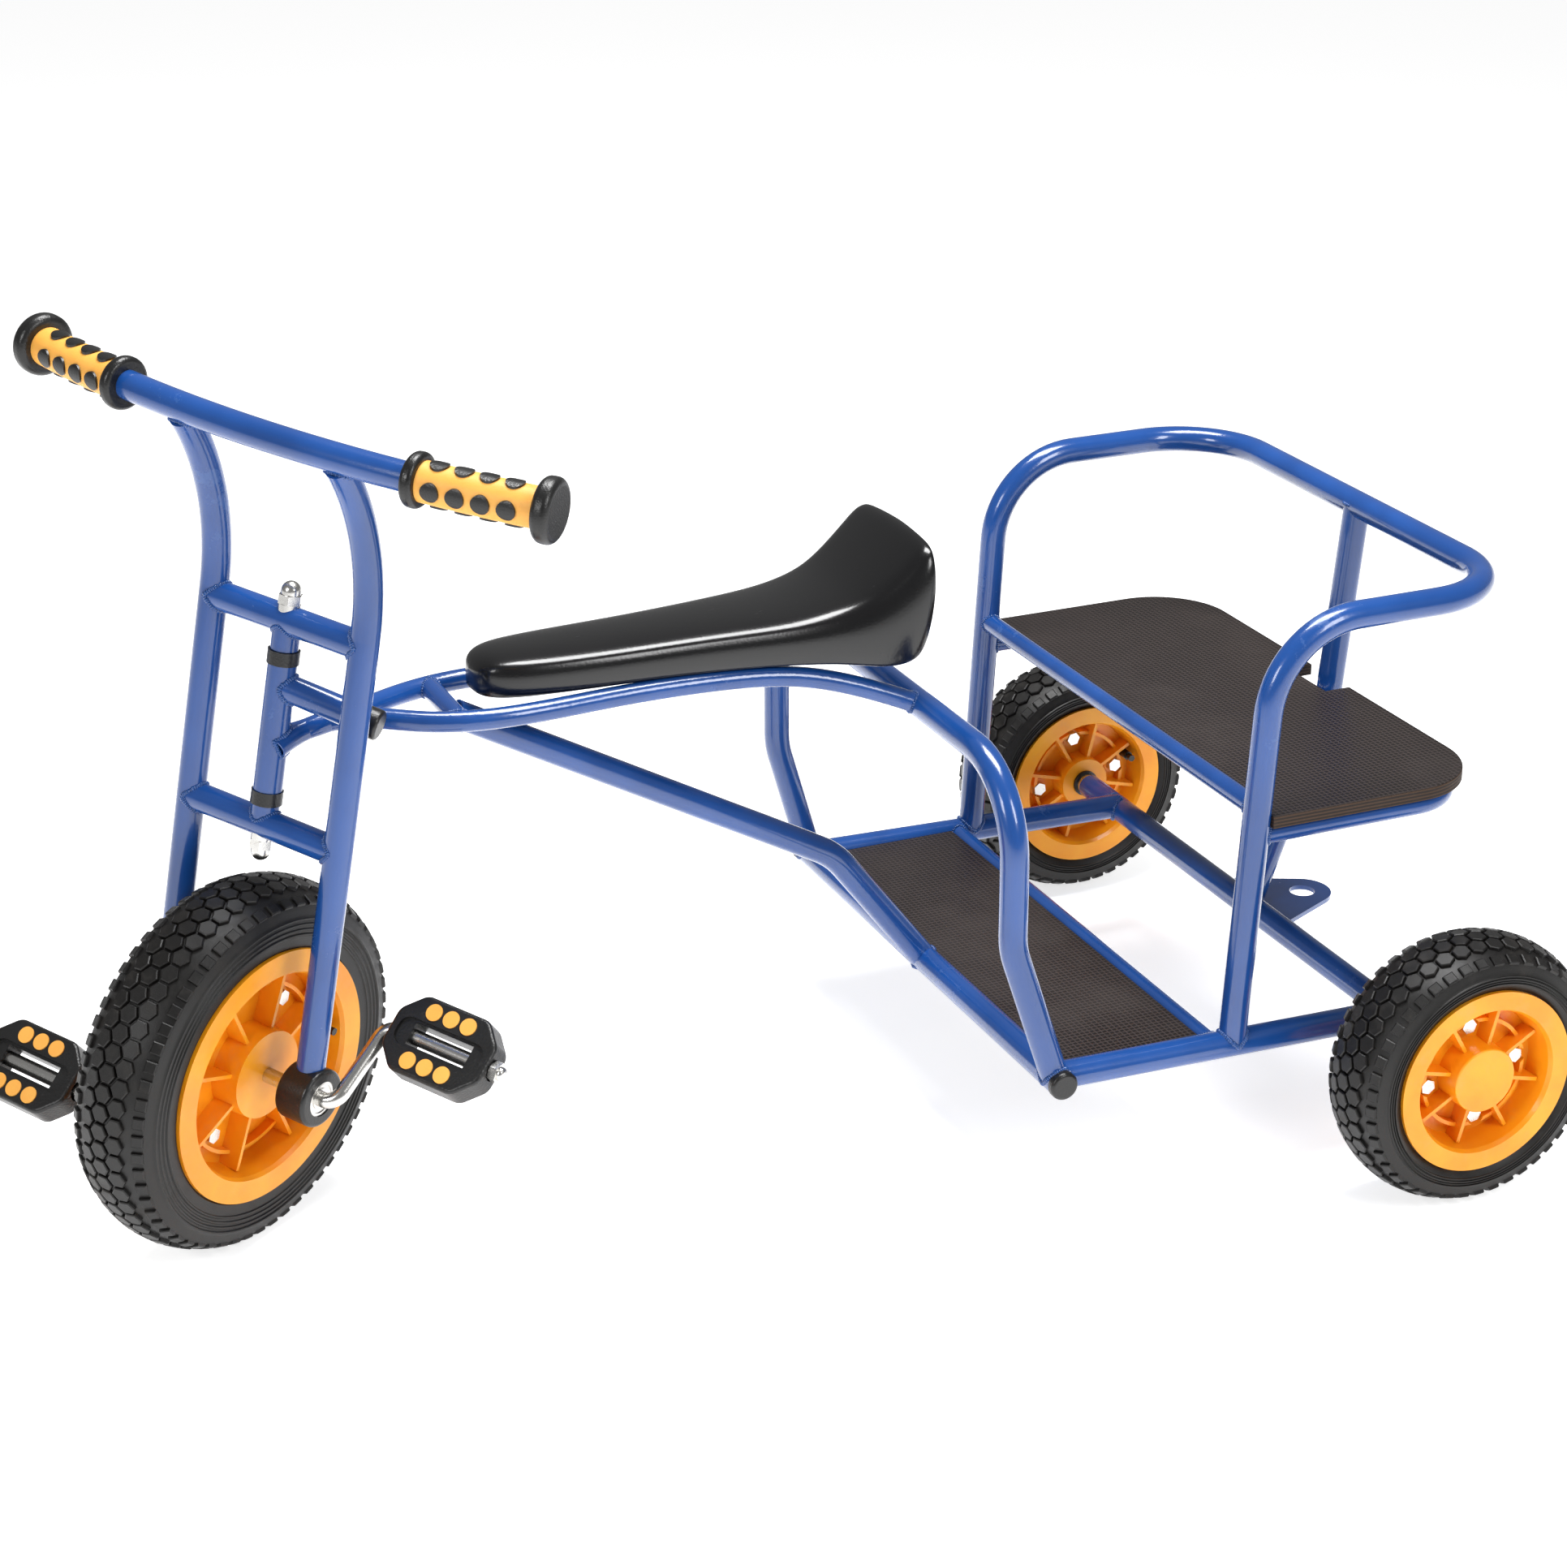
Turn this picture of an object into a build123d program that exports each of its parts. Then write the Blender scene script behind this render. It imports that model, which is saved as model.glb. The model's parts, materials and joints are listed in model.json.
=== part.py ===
# Children's two-passenger taxi tricycle: driver's saddle and pedals in front, bench for two behind.
# Millimetres, +Z up, +X the rider's left, -Y forward.  Built with the rear axle at y = 0, then moved
# so that the origin is on the ground at the middle of the overall length.
import os
from math import asin, atan2, cos, degrees, hypot, radians, sin, sqrt

from build123d import *

# ---------------------------------------------------------------- driving dimensions
TUBE_DIAMETER = 22.0          # main frame, fork, handlebar
TUBE_WALL = 2.0
THIN_TUBE_DIAMETER = 16.0     # rails, seat frame, platform rear bar
THIN_TUBE_WALL = 1.5

WHEELBASE = 890.0
REAR_TRACK = 645.0
REAR_HALF_WIDTH = 229.0       # centre-line of side rails and bench uprights

HEAD_RAKE_DEG = 10.3
STEER_REST_DEG = 33.7         # the trike stands with its front wheel turned against the left stop

# clearances
RUNNING_FIT = 0.05            # shaft in bush, radial
PEDAL_FIT = 0.09               # spindle in pedal, radial
TURNING_GAP = 0.3             # between faces that turn past each other
STOP_GAP = 0.2                # fork leg to steering stop at full left lock
FITTED_GAP = 0.3              # board edges to tubes

# front wheel
FRONT_RADIUS = 148.0
FRONT_TYRE_WIDTH = 74.0
FRONT_BEAD_RADIUS = 92.0
FRONT_FLANGE_RADIUS = 102.0
FRONT_LIP_RADIUS = 84.0
FRONT_RIM_WIDTH = 74.0
FRONT_BOSS_RADIUS = 36.0
FRONT_BOLT_CIRCLE = 58.0
FRONT_RING_RADIUS = 68.0
FRONT_BOLT_ANGLE_DEG = 57.0

# rear wheels
REAR_RADIUS = 110.0
REAR_TYRE_WIDTH = 72.0
REAR_BEAD_RADIUS = 67.0
REAR_FLANGE_RADIUS = 76.0
REAR_LIP_RADIUS = 61.0
REAR_RIM_WIDTH = 68.0
REAR_BOSS_RADIUS = 28.0
REAR_BOLT_CIRCLE = 40.0
REAR_RING_RADIUS = 45.0
REAR_BOLT_ANGLE_DEG = 8.0

# features that both wheel sizes share
CROWN_RADIUS = 60.0
RIM_THICKNESS = 3.5
WEB_FACE = 8.0                # outer face of the web, from the wheel's middle plane
RIB_COUNT = 8
RIB_THICKNESS = 3.0
RIM_BOLT_COUNT = 4
RIM_BOLT_DIAMETER = 6.0
RIM_BOLT_HEAD = 11.0

# axles and crank
AXLE_DIAMETER = 12.0
CRANK_RADIUS = 71.5
CRANK_ANGLE_DEG = 48.0        # left crank above horizontal, towards the rear
CRANK_BEND = 12.0
CRANK_STRAIGHT = 97.5         # axle's straight length each side of the wheel's middle
PEDAL_OFFSET = 155.5          # pedal centre from the wheel's middle plane
PEDAL_WIDTH = 92.0
PEDAL_LENGTH = 63.0
PEDAL_THICKNESS = 23.0
PEDAL_RECESS = 2.5            # depth of the hollow between the two pads
PEDAL_COUNTERBORE = 17.0      # clears the crank's bend at the inner end
PEDAL_BORE_DEPTH = 6.5
PEDAL_PITCH_DEG = 50.6        # rear edge up
PEDAL_DOT_DIAMETER = 13.5
PEDAL_DOT_PITCH = 16.0
PEDAL_ROW_OFFSET = 20.5

# fork and handlebar, heights measured along the steering axis from the ground
FORK_HALF_SPACING = 71.5
LOWER_CROSS_HEIGHT = 344.0
UPPER_CROSS_HEIGHT = 502.0
LEG_BEND_HEIGHT = 508.0
LEG_BEND_RADIUS = 195.0
BAR_HEIGHT = 647.5
BAR_FORWARD = 57.5
BAR_HALF_LENGTH = 236.0
BAR_SWEEP = 29.0
BAR_RISE = 4.5
HEAD_TUBE_BOTTOM = 370.5
HEAD_TUBE_TOP = 469.0
HEAD_BUSH_HEIGHT = 10.5
HEAD_BUSH_DIAMETER = 24.0
HEAD_BOLT_DIAMETER = 10.0
HOUSING_DIAMETER = 46.0
HOUSING_INNER = 58.0
HOUSING_OUTER = 86.0
BEARING_DIAMETER = 28.0
BEARING_WIDTH = 13.0

# grips
GRIP_START = 130.5
GRIP_DIAMETER = 29.5
GRIP_RING_DIAMETER = 40.0
GRIP_RING_WIDTH = 10.0
GRIP_END_DIAMETER = 47.0
GRIP_END_WIDTH = 14.0
NUB_DIAMETER = 14.0
NUB_HEIGHT = 1.5
NUB_ROOT = 0.6                # how deep the studs are moulded into the sleeve
NUBS_PER_ROW = 4
NUB_ROWS = 4
NUB_FIRST = 12.5              # from the sleeve's inner end
NUB_PITCH = 19.0
NUB_ROW_TURN_DEG = 12.0       # first row, forward of the top

# frame
CROSSBAR_Y = -310.0
CROSSBAR_Z = 120.0
CROSSBAR_HALF = 242.0
END_CAP_LENGTH = 7.0
SIDE_RAIL_REAR_Z = 112.0
PLATFORM_BAR_Y = -168.0
FOOT_BOARD_TOP = 123.0
FOOT_BOARD_THICKNESS = 9.0
UPRIGHT_FOOT_Y = -152.0
UPRIGHT_TOP_Y = -131.5
ARM_HEIGHT = 460.0
ARM_BEND = 75.0
BACK_RAIL_Y = 85.0
SEAT_BAR_HEIGHT = 314.0
SEAT_TOP = 310.0
SEAT_THICKNESS = 10.0
SEAT_HALF_WIDTH = 240.0
SEAT_REAR_Y = 70.0
SEAT_CORNER = 65.0
SEAT_NOTCH_HALF = 30.0
SEAT_NOTCH_DEPTH = 24.0
SEAT_FRAME_REAR_Y = 51.0
SEAT_FRAME_BEND = 45.0
POST_KNEE_Y = 68.5
POST_KNEE_Z = 290.0
POST_BEND = 60.0
HOOP_Y = -345.0
HOOP_HALF = 222.0
HOOP_TOP = 372.0
HOOP_KNEE_Z = 232.5
HOOP_FOOT_HALF = 231.5
HOOP_BEND = 70.0
RAIL_HEIGHT = 410.0
RAIL_HALF_SPACING = 40.0
RAIL_FRONT_HALF = 9.5
DOWN_TUBE_TOP_Y = -704.0
DOWN_TUBE_TOP_Z = 401.0
DOWN_TUBE_KNEE_Y = -392.0
DOWN_TUBE_KNEE_Z = 228.0
DOWN_TUBE_BEND = 70.0
RAIL_TIE_Y = -712.0
STOP_END_X = 47.0
STOP_END_REAR = 61.0
BUMPER_LENGTH = 17.0

# towing plate
HITCH_HOLE_DIAMETER = 22.0
HITCH_HOLE_REAR = 55.0
HITCH_TIP_RADIUS = 25.0
HITCH_BASE_HALF = 50.0
HITCH_THICKNESS = 4.0

# rear hub
BEAM_HALF_LENGTH = 284.0
AXLE_PLUG_LENGTH = 30.0
BUSH_DIAMETER = 18.0
HUB_POCKET_RADIUS = 13.0
HUB_NUT_WIDTH = 8.0

# saddle
SADDLE_FRONT_Y = -692.0
SADDLE_TAIL_Y = -335.0
SADDLE_NOSE_HALF = 42.0
SADDLE_TAIL_HALF = 74.0
SADDLE_TOP = 446.0
SADDLE_TAIL_TOP = 500.0

# ---------------------------------------------------------------- derived frame of the steering
rake = radians(HEAD_RAKE_DEG)
steer = radians(STEER_REST_DEG)
wheel_lean = asin(sin(steer) * sin(rake))
front_axle_z = (FRONT_RADIUS - CROWN_RADIUS) * cos(wheel_lean) + CROWN_RADIUS
AXLE_HEIGHT = front_axle_z / cos(rake)
head_foot_y = -WHEELBASE - AXLE_HEIGHT * sin(rake)
head_axis = Vector(0, sin(rake), cos(rake))
steered_x = Vector(cos(steer), sin(steer) * cos(rake), -sin(steer) * sin(rake))
HEAD = Plane(origin=(0, head_foot_y, 0), x_dir=(1, 0, 0), z_dir=head_axis).location
FORK = Plane(origin=(0, head_foot_y, 0), x_dir=steered_x, z_dir=head_axis).location
AXLE_BEAM_Z = REAR_RADIUS

parts = {}


# ---------------------------------------------------------------- helpers
def bar(start, end, diameter):
    """A solid round bar between two points."""
    span = Vector(end) - Vector(start)
    base = Plane(origin=start, z_dir=span)
    return extrude(base * Circle(diameter / 2), amount=span.length)


def swept(path, diameter):
    """A solid round bar along a path."""
    start = Plane(origin=path @ 0, z_dir=path % 0)
    return sweep(start * Circle(diameter / 2), path=path)


def straight_tube(start, end, diameter, wall, cutters=()):
    """A straight tube with its ends coped to the members it meets."""
    tube = bar(start, end, diameter)
    for cutter in cutters:
        tube = biggest(tube - cutter)
    return biggest(tube - bar(start, end, diameter - 2 * wall))


def bent_tube(path, diameter, wall, cutters=()):
    """A bent tube with its ends coped to the members it meets."""
    tube = swept(path, diameter)
    for cutter in cutters:
        tube = biggest(tube - cutter)
    return biggest(tube - swept(path, diameter - 2 * wall))


def beyond(start, end, extra):
    """A point past the end of a run, so that the cope takes the whole tube end."""
    run = Vector(end) - Vector(start)
    return tuple(Vector(end) + run.normalized() * extra)


def ring_x(outer, inner, low, high):
    """A ring about the X axis between two X positions."""
    body = bar((low, 0, 0), (high, 0, 0), 2 * outer)
    if inner > 0:
        body = body - bar((low, 0, 0), (high, 0, 0), 2 * inner)
    return body


def hexagon_x(across, low, high):
    """A hexagonal prism along X."""
    base = Plane(origin=(low, 0, 0), z_dir=(1, 0, 0))
    return extrude(base * RegularPolygon(across / sqrt(3), 6), amount=high - low)


def biggest(shape):
    """The largest solid, for pieces that coping has left with loose slivers."""
    return max(shape.solids(), key=lambda solid: solid.volume)


def mirrored(shape):
    return mirror(shape, about=Plane.YZ)


# ---------------------------------------------------------------- wheels
class WheelSize:
    """The named sizes of one wheel, with its axle along X and its middle at the origin."""

    def __init__(self, radius, width, bead, flange, lip, rim_width, boss, bolts, ring, angle):
        self.radius = radius
        self.half = width / 2
        self.bead = bead
        self.flange = flange
        self.lip = lip
        self.rim_half = rim_width / 2
        self.boss = boss
        self.bolt_circle = bolts
        self.ring = ring
        self.angle = angle


FRONT = WheelSize(FRONT_RADIUS, FRONT_TYRE_WIDTH, FRONT_BEAD_RADIUS, FRONT_FLANGE_RADIUS,
                  FRONT_LIP_RADIUS, FRONT_RIM_WIDTH, FRONT_BOSS_RADIUS, FRONT_BOLT_CIRCLE,
                  FRONT_RING_RADIUS, FRONT_BOLT_ANGLE_DEG)
REAR = WheelSize(REAR_RADIUS, REAR_TYRE_WIDTH, REAR_BEAD_RADIUS, REAR_FLANGE_RADIUS,
                 REAR_LIP_RADIUS, REAR_RIM_WIDTH, REAR_BOSS_RADIUS, REAR_BOLT_CIRCLE,
                 REAR_RING_RADIUS, REAR_BOLT_ANGLE_DEG)


def tyre(size):
    """A chunky tyre: crowned tread, square shoulders, bulged sidewalls and a flat bead seat."""
    shoulder_x = size.half - 2.0
    centre_r = size.radius - CROWN_RADIUS
    shoulder_r = centre_r + sqrt(CROWN_RADIUS ** 2 - shoulder_x ** 2)
    bead_x = size.rim_half - RIM_THICKNESS
    bulge_r = (size.flange + shoulder_r) / 2
    wall_foot = size.flange + 0.6
    outline = [
        Line((-bead_x, size.bead), (bead_x, size.bead)),
        Line((bead_x, size.bead), (bead_x, wall_foot)),
        Line((bead_x, wall_foot), (size.half, bulge_r)),
        Line((size.half, bulge_r), (size.half, shoulder_r - 3.0)),
        Line((size.half, shoulder_r - 3.0), (shoulder_x, shoulder_r)),
        ThreePointArc((shoulder_x, shoulder_r), (0, size.radius), (-shoulder_x, shoulder_r)),
        Line((-shoulder_x, shoulder_r), (-size.half, shoulder_r - 3.0)),
        Line((-size.half, shoulder_r - 3.0), (-size.half, bulge_r)),
        Line((-size.half, bulge_r), (-bead_x, wall_foot)),
        Line((-bead_x, wall_foot), (-bead_x, size.bead)),
    ]
    return revolve(make_face(Curve() + outline), axis=Axis.X)


def rim_half(size, boss_radius, bore_radius):
    """One moulded rim half on the +X side of the middle plane, with ribs, ring and hub boss."""
    face = size.rim_half
    lip_inner = size.lip - 2.0
    floor_r = size.lip - 5.0
    shell = Polyline(
        (0, size.bead), (face - RIM_THICKNESS, size.bead), (face - RIM_THICKNESS, size.flange),
        (face, size.flange), (face, size.lip), (face - RIM_THICKNESS, lip_inner),
        (WEB_FACE, floor_r), (WEB_FACE, boss_radius), (face - 5.0, boss_radius - 1.0),
        (face - 5.0, bore_radius), (0, bore_radius), close=True)
    half = revolve(make_face(shell), axis=Axis.X)
    recess = ring_x(size.bead - RIM_THICKNESS, floor_r + 4.0, 0, WEB_FACE)
    half = half - recess
    rib_top = face - 11.0
    reach = floor_r + 1.0
    for k in range(RIB_COUNT):
        turn = size.angle + 360.0 / RIB_COUNT * (k + 0.5)
        rib = Box(rib_top - WEB_FACE + 1.0, reach - boss_radius + 2.0, RIB_THICKNESS)
        middle = ((rib_top + WEB_FACE - 1.0) / 2, (reach + boss_radius - 2.0) / 2, 0)
        half = half + Rot(turn, 0, 0) * (Pos(*middle) * rib)
    ring = ring_x(size.ring + 1.5, size.ring - 1.5, WEB_FACE - 1.0, WEB_FACE + 8.0)
    half = half + ring
    for k in range(RIM_BOLT_COUNT):
        turn = size.angle + 360.0 / RIM_BOLT_COUNT * k
        seat = bar((WEB_FACE - 1.0, size.bolt_circle, 0), (WEB_FACE + 1.5, size.bolt_circle, 0), 17.0)
        clear = bar((WEB_FACE + 1.5, size.bolt_circle, 0), (face, size.bolt_circle, 0), 15.0)
        hole = bar((-1, size.bolt_circle, 0), (face, size.bolt_circle, 0), RIM_BOLT_DIAMETER)
        half = half + Rot(turn, 0, 0) * seat
        half = half - Rot(turn, 0, 0) * clear
        half = half - Rot(turn, 0, 0) * hole
    half = half - ring_x(bore_radius, 0, -1, face + 1)
    return half


def rim_bolts(size):
    """Four bolts and nuts that clamp the two rim halves together."""
    seat = WEB_FACE + 1.5
    body = Part()
    for k in range(RIM_BOLT_COUNT):
        turn = size.angle + 360.0 / RIM_BOLT_COUNT * k
        place = Rot(turn, 0, 0) * Pos(0, size.bolt_circle, 0)
        stem = bar((-seat, 0, 0), (seat, 0, 0), RIM_BOLT_DIAMETER)
        head = hexagon_x(RIM_BOLT_HEAD, seat, seat + 4.5)
        nut = hexagon_x(RIM_BOLT_HEAD, -seat - 5.5, -seat)
        body = body + place * (stem + head + nut)
    return body


def other_half(shape):
    """The matching rim half on the -X side."""
    return mirror(shape, about=Plane.YZ)


def valve(size, side, turn):
    """A rubber valve stem that stands out of the dish beside the lip."""
    radius = size.lip - 10.0
    start = side * WEB_FACE
    end = side * (size.rim_half - 9.0)
    stem = bar((start, radius, 0), (end, radius, 0), 8.0)
    cap = bar((end, radius, 0), (end + side * 7.0, radius, 0), 6.0)
    return Rot(turn, 0, 0) * (stem + cap)


# ---------------------------------------------------------------- frame members, outer envelopes
crossbar_ends = ((-CROSSBAR_HALF, CROSSBAR_Y, CROSSBAR_Z), (CROSSBAR_HALF, CROSSBAR_Y, CROSSBAR_Z))
crossbar_solid = bar((-CROSSBAR_HALF - 20, CROSSBAR_Y, CROSSBAR_Z),
                     (CROSSBAR_HALF + 20, CROSSBAR_Y, CROSSBAR_Z), TUBE_DIAMETER)
beam_ends = ((-BEAM_HALF_LENGTH, 0, AXLE_BEAM_Z), (BEAM_HALF_LENGTH, 0, AXLE_BEAM_Z))
beam_solid = bar(*beam_ends, TUBE_DIAMETER)


def side_rail_z(y):
    """Height of the side rails' centre-line, which falls gently to the rear."""
    share = (y - CROSSBAR_Y) / (0 - CROSSBAR_Y)
    return CROSSBAR_Z + (SIDE_RAIL_REAR_Z - CROSSBAR_Z) * share


def upright_y(z):
    """The uprights lean back a little."""
    foot = side_rail_z(UPRIGHT_FOOT_Y)
    return UPRIGHT_FOOT_Y + (UPRIGHT_TOP_Y - UPRIGHT_FOOT_Y) * (z - foot) / (ARM_HEIGHT - foot)


def side_rail_ends(side):
    front = (side * REAR_HALF_WIDTH, CROSSBAR_Y, CROSSBAR_Z)
    rear = (side * REAR_HALF_WIDTH, 0, SIDE_RAIL_REAR_Z)
    return front, rear


rail_solids = {side: bar(*side_rail_ends(side), TUBE_DIAMETER) for side in (1, -1)}

parts["front_crossbar"] = straight_tube(*crossbar_ends, TUBE_DIAMETER, TUBE_WALL)
parts["rear_axle_beam"] = straight_tube(*beam_ends, TUBE_DIAMETER, TUBE_WALL)
parts["side_rails"] = Compound([
    straight_tube(*side_rail_ends(side), TUBE_DIAMETER, TUBE_WALL, (crossbar_solid, beam_solid))
    for side in (1, -1)])

end_caps = Part()
for side in (1, -1):
    face_x = side * CROSSBAR_HALF
    tip_x = side * (CROSSBAR_HALF + END_CAP_LENGTH)
    plug_x = side * (CROSSBAR_HALF - 12.0)
    plug = bar((plug_x, CROSSBAR_Y, CROSSBAR_Z), (face_x, CROSSBAR_Y, CROSSBAR_Z),
               TUBE_DIAMETER - 2 * TUBE_WALL)
    cap = bar((face_x, CROSSBAR_Y, CROSSBAR_Z), (tip_x, CROSSBAR_Y, CROSSBAR_Z), TUBE_DIAMETER + 1.0)
    outer_edge = cap.edges().sort_by(Axis.X)[-1 if side > 0 else 0]
    end_caps = end_caps + (fillet(outer_edge, 3.0) + plug)
parts["crossbar_end_caps"] = end_caps

platform_z = side_rail_z(PLATFORM_BAR_Y)
parts["platform_rear_bar"] = straight_tube(
    (-REAR_HALF_WIDTH, PLATFORM_BAR_Y, platform_z), (REAR_HALF_WIDTH, PLATFORM_BAR_Y, platform_z),
    THIN_TUBE_DIAMETER, THIN_TUBE_WALL, (rail_solids[1], rail_solids[-1]))

# bench: one long tube makes both uprights, both arms and the back rail
bench_points = [
    (REAR_HALF_WIDTH, UPRIGHT_FOOT_Y, side_rail_z(UPRIGHT_FOOT_Y)),
    (REAR_HALF_WIDTH, UPRIGHT_TOP_Y, ARM_HEIGHT),
    (REAR_HALF_WIDTH, BACK_RAIL_Y, ARM_HEIGHT),
    (-REAR_HALF_WIDTH, BACK_RAIL_Y, ARM_HEIGHT),
    (-REAR_HALF_WIDTH, UPRIGHT_TOP_Y, ARM_HEIGHT),
    (-REAR_HALF_WIDTH, UPRIGHT_FOOT_Y, side_rail_z(UPRIGHT_FOOT_Y)),
]
bench_path = FilletPolyline(*bench_points, radius=ARM_BEND)
bench_solid = swept(bench_path, TUBE_DIAMETER)
parts["bench_loop"] = bent_tube(bench_path, TUBE_DIAMETER, TUBE_WALL,
                                (rail_solids[1], rail_solids[-1]))

seat_bar_y = upright_y(SEAT_BAR_HEIGHT)
seat_bar_ends = ((-REAR_HALF_WIDTH, seat_bar_y, SEAT_BAR_HEIGHT),
                 (REAR_HALF_WIDTH, seat_bar_y, SEAT_BAR_HEIGHT))
parts["seat_front_bar"] = straight_tube(
    *seat_bar_ends, THIN_TUBE_DIAMETER, THIN_TUBE_WALL, (bench_solid,))

seat_frame_z = SEAT_TOP - SEAT_THICKNESS - THIN_TUBE_DIAMETER / 2
seat_frame_front = upright_y(seat_frame_z)
seat_frame_path = FilletPolyline(
    (REAR_HALF_WIDTH, seat_frame_front, seat_frame_z),
    (REAR_HALF_WIDTH, SEAT_FRAME_REAR_Y, seat_frame_z),
    (-REAR_HALF_WIDTH, SEAT_FRAME_REAR_Y, seat_frame_z),
    (-REAR_HALF_WIDTH, seat_frame_front, seat_frame_z), radius=SEAT_FRAME_BEND)
seat_frame_solid = swept(seat_frame_path, THIN_TUBE_DIAMETER)
parts["seat_frame"] = bent_tube(seat_frame_path, THIN_TUBE_DIAMETER, THIN_TUBE_WALL, (bench_solid,))

# boards
seat_front_y = seat_bar_y + THIN_TUBE_DIAMETER / 2 + FITTED_GAP
seat_plan = Pos(0, (seat_front_y + SEAT_REAR_Y) / 2) * Rectangle(
    2 * SEAT_HALF_WIDTH, SEAT_REAR_Y - seat_front_y)
seat_plan = fillet(seat_plan.vertices().group_by(Axis.Y)[-1], SEAT_CORNER)
notch = Pos(0, SEAT_REAR_Y - SEAT_NOTCH_DEPTH / 2) * Rectangle(2 * SEAT_NOTCH_HALF, SEAT_NOTCH_DEPTH)
seat_plan = seat_plan - notch
seat_board = Pos(0, 0, SEAT_TOP - SEAT_THICKNESS) * extrude(seat_plan, amount=SEAT_THICKNESS)
for side in (1, -1):
    low = (side * REAR_HALF_WIDTH, upright_y(SEAT_TOP - 40), SEAT_TOP - 40)
    high = (side * REAR_HALF_WIDTH, upright_y(SEAT_TOP + 40), SEAT_TOP + 40)
    seat_board = seat_board - bar(low, high, TUBE_DIAMETER + 2 * FITTED_GAP)
    outside = Pos(side * (REAR_HALF_WIDTH + 20), upright_y(SEAT_TOP) - 12, SEAT_TOP) * Box(40, 24, 40)
    seat_board = seat_board - outside
seat_board = biggest(seat_board)
parts["seat_board"] = fillet(seat_board.faces().sort_by(Axis.Z)[-1].edges().filter_by(
    lambda edge: edge.center().Y > seat_front_y + 30 and abs(edge.center().X) > SEAT_NOTCH_HALF), 1.5)

board_front = CROSSBAR_Y + TUBE_DIAMETER / 2 + FITTED_GAP
board_rear = PLATFORM_BAR_Y - THIN_TUBE_DIAMETER / 2 - FITTED_GAP
board_half = REAR_HALF_WIDTH - TUBE_DIAMETER / 2 - FITTED_GAP
foot_board = Pos(0, (board_front + board_rear) / 2, FOOT_BOARD_TOP - FOOT_BOARD_THICKNESS / 2) * Box(
    2 * board_half, board_rear - board_front, FOOT_BOARD_THICKNESS)
parts["foot_board"] = chamfer(foot_board.faces().sort_by(Axis.Z)[-1].edges(), 0.8)

# lugs under the foot board, welded to the crossbar and the platform rear bar
lugs = Part()
lug_top = FOOT_BOARD_TOP - FOOT_BOARD_THICKNESS
for x in (-150.0, 150.0):
    front = Pos(x, board_front + 6.0, lug_top - 1.5) * Box(30, 40, 3)
    rear = Pos(x, board_rear - 6.0, lug_top - 1.5) * Box(30, 40, 3)
    platform_solid = bar((-REAR_HALF_WIDTH, PLATFORM_BAR_Y, platform_z),
                         (REAR_HALF_WIDTH, PLATFORM_BAR_Y, platform_z), THIN_TUBE_DIAMETER)
    lugs = lugs + biggest(front - crossbar_solid) + biggest(rear - platform_solid)
parts["foot_board_lugs"] = lugs

# hoop behind the saddle
hoop_knees = {side: (side * (HOOP_HALF + 1), HOOP_Y, HOOP_KNEE_Z) for side in (1, -1)}
hoop_feet = {side: (side * HOOP_FOOT_HALF, CROSSBAR_Y, CROSSBAR_Z) for side in (1, -1)}
hoop_points = [
    beyond(hoop_knees[1], hoop_feet[1], 15.0), hoop_knees[1],
    (HOOP_HALF, HOOP_Y, HOOP_TOP), (-HOOP_HALF, HOOP_Y, HOOP_TOP),
    hoop_knees[-1], beyond(hoop_knees[-1], hoop_feet[-1], 15.0),
]
hoop_path = FilletPolyline(*hoop_points, radius=HOOP_BEND)
hoop_solid = swept(hoop_path, TUBE_DIAMETER)
parts["rear_hoop"] = bent_tube(hoop_path, TUBE_DIAMETER, TUBE_WALL,
                               (crossbar_solid, rail_solids[1], rail_solids[-1]))

# head tube, bushes and steering stop
head_tube_solid = HEAD * bar((0, 0, HEAD_TUBE_BOTTOM), (0, 0, HEAD_TUBE_TOP), TUBE_DIAMETER)
head_bore = TUBE_DIAMETER - 2 * TUBE_WALL
parts["head_tube"] = HEAD * (
    bar((0, 0, HEAD_TUBE_BOTTOM), (0, 0, HEAD_TUBE_TOP), TUBE_DIAMETER)
    - bar((0, 0, HEAD_TUBE_BOTTOM), (0, 0, HEAD_TUBE_TOP), head_bore))


def head_bush(edge, outward):
    """A flanged plastic bush pushed into one end of the head tube."""
    flange = bar((0, 0, edge), (0, 0, edge + outward * HEAD_BUSH_HEIGHT), HEAD_BUSH_DIAMETER)
    spigot = bar((0, 0, edge - outward * 14.0), (0, 0, edge), head_bore)
    hole = bar((0, 0, edge - 60), (0, 0, edge + 60), HEAD_BOLT_DIAMETER + 2 * RUNNING_FIT)
    return flange + spigot - hole


parts["head_bushes"] = HEAD * (head_bush(HEAD_TUBE_TOP, 1) + head_bush(HEAD_TUBE_BOTTOM, -1))

stop_height = 452.0
stop_drop = 13.0
stop_length = hypot(STOP_END_X, STOP_END_REAR)
stop_start = (0, 0, stop_height)
stop_tip = (STOP_END_X, STOP_END_REAR, stop_height - stop_drop)
stop_vector = Vector(stop_tip) - Vector(stop_start)
stop_unit = stop_vector.normalized()
leg_x = FORK_HALF_SPACING * cos(steer)
leg_y = FORK_HALF_SPACING * sin(steer)
stop_to_leg = abs(leg_x * STOP_END_REAR - leg_y * STOP_END_X) / stop_length
bumper_diameter = 2 * (stop_to_leg - TUBE_DIAMETER / 2 - STOP_GAP)
stop_core = 18.0
bumper_start = Vector(stop_tip) - stop_unit * BUMPER_LENGTH
stop_stub = (bar(stop_start, tuple(bumper_start), TUBE_DIAMETER - 1.0)
             + bar(stop_start, stop_tip, stop_core))
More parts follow.
